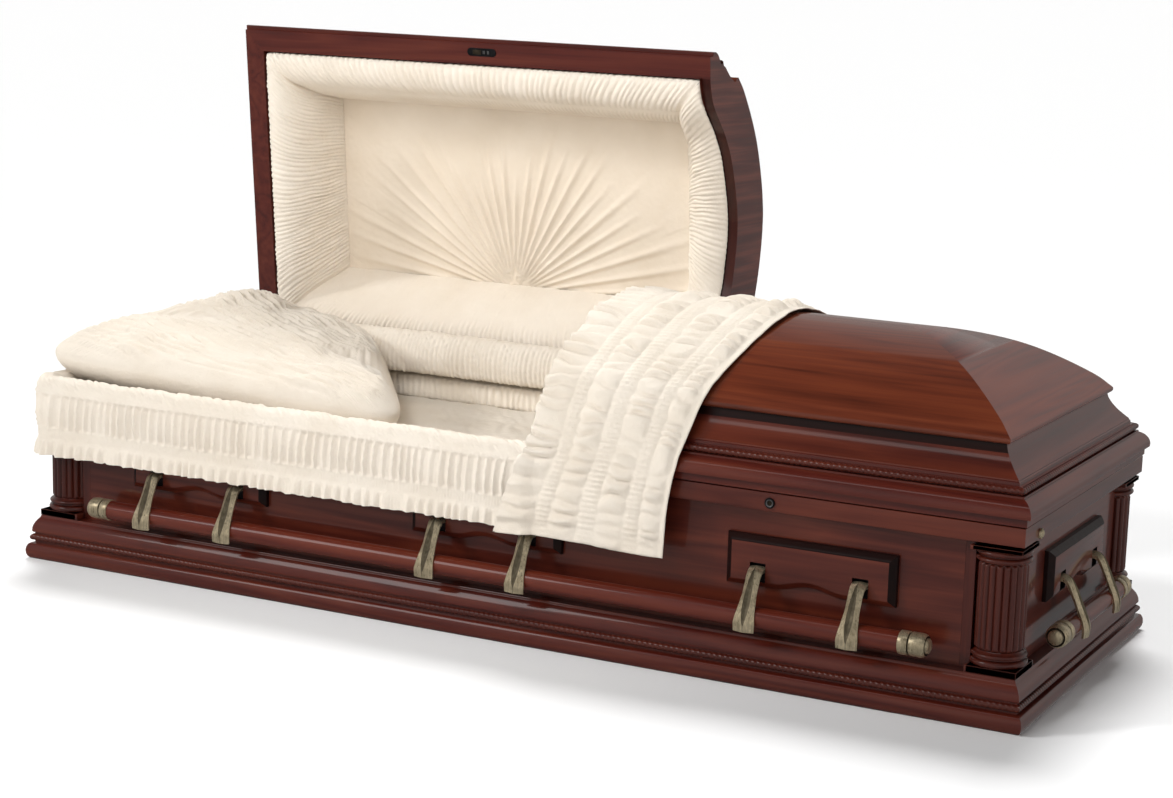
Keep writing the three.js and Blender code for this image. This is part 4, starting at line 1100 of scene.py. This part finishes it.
topP = base_p + np.array([0, 0, 1.0]) * (45 * prof + lump * prof + hh)[..., None]
botP = base_p - np.array([0, 0, 1.0]) * ((74 + 0.4 * lump) * prof + 0.6 * hh)[..., None]
botP[..., 2] = np.maximum(botP[..., 2], 298.0)
topP[..., 2] = np.maximum(topP[..., 2], 299.0)
b = Build()
b.grid(topP, 0, cv=True)
b.grid(botP[[0, 20, 40, 60, 80, 92, 100, 104, 108, 112, 116, 119, 122, 124]], 0, cv=True, flip=True)
pillow = b.make("pillow_cloth", [CREPE], angle=None, merge=0.05)
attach(pillow, "casket_body"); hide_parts("pillow")

# soft pieces that the closing head lid presses down
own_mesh(skirt)
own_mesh(pillow)
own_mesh(back_roll)

# ------------------------------------------------------------------ floor and light
fl = bpy.data.meshes.new("floor")
fl.from_pydata([(-3000, -3000, 0), (3000, -3000, 0), (3000, 3000, 0), (-3000, 3000, 0)], [], [(0, 1, 2, 3)])
floor = bpy.data.objects.new("floor", fl)
scene.collection.objects.link(floor)
fm, nt, bs = new_material("pale_floor")
bs.inputs["Base Color"].default_value = (0.95, 0.95, 0.95, 1)
bs.inputs["Roughness"].default_value = 0.9
bs.inputs["Specular IOR Level"].default_value = 0.1
fl.materials.append(fm)
floor.visible_glossy = False

world = bpy.data.worlds.new("studio")
scene.world = world
world.use_nodes = True
wn = world.node_tree
bg = wn.nodes["Background"]
tc = wn.nodes.new("ShaderNodeTexCoord")
sep = wn.nodes.new("ShaderNodeSeparateXYZ")
wn.links.new(tc.outputs["Generated"], sep.inputs[0])
wr = ramp(wn, [(0.0, (0.10, 0.10, 0.10)), (0.36, (0.20, 0.20, 0.20)), (0.46, (0.26, 0.255, 0.25)), (0.52, (0.36, 0.35, 0.34)), (0.66, (0.36, 0.35, 0.34)), (0.76, (0.22, 0.22, 0.22)), (0.88, (0.06, 0.06, 0.06)), (1.0, (0.03, 0.03, 0.03))])
mr = wn.nodes.new("ShaderNodeMapRange")
mr.inputs["From Min"].default_value = -1.0
mr.inputs["From Max"].default_value = 1.0
wn.links.new(sep.outputs["Z"], mr.inputs["Value"])
wn.links.new(mr.outputs[0], wr.inputs["Fac"])
wn.links.new(wr.outputs["Color"], bg.inputs["Color"])
bg.inputs["Strength"].default_value = 1.0


def area(name, loc, target, size, power, glossy=True, colour=(1, 1, 1)):
    d = bpy.data.lights.new(name, "AREA")
    d.shape = "RECTANGLE"
    d.size, d.size_y = size
    d.energy = power
    d.color = colour
    o = bpy.data.objects.new(name, d)
    scene.collection.objects.link(o)
    o.location = loc
    o.rotation_mode = "QUATERNION"
    o.rotation_quaternion = (Vector(target) - Vector(loc)).to_track_quat("-Z", "Y")
    o.visible_glossy = glossy
    return o


def sun(name, direction, strength, angle):
    d = bpy.data.lights.new(name, "SUN")
    d.energy = strength
    d.angle = math.radians(angle)
    o = bpy.data.objects.new(name, d)
    scene.collection.objects.link(o)
    o.rotation_mode = "QUATERNION"
    o.rotation_quaternion = Vector(direction).to_track_quat("-Z", "Y")
    o.visible_glossy = False
    return o


sun("top_soft", (0.22, -0.50, -0.84), 2.7, 24)
sun("side_soft", (0.80, 0.50, -0.50), 1.15, 8)
sun("end_soft", (-0.95, 0.16, -0.24), 0.6, 30)
area("key", (-2.6, -3.2, 2.6), (-0.1, 0, 0.35), (1.6, 1.6), 22, glossy=True)
area("lid_fill", (0.6, -3.6, 2.2), (-0.4, 0.4, 0.6), (1.4, 1.0), 18, glossy=False)
inner = area("inner_fill", (-0.3, -1.7, 2.3), (-0.40, 0.25, 0.45), (1.3, 0.8), 5.0, glossy=False)
inner.data.spread = math.radians(70)
area("strip", (0.3, -1.9, 3.0), (0.2, -0.3, 0.2), (3.2, 0.35), 4, glossy=True)

scene.view_settings.view_transform = "Standard"
scene.view_settings.look = "None"
scene.view_settings.exposure = 0.0

# ------------------------------------------------------------------ end
bpy.context.view_layer.update()
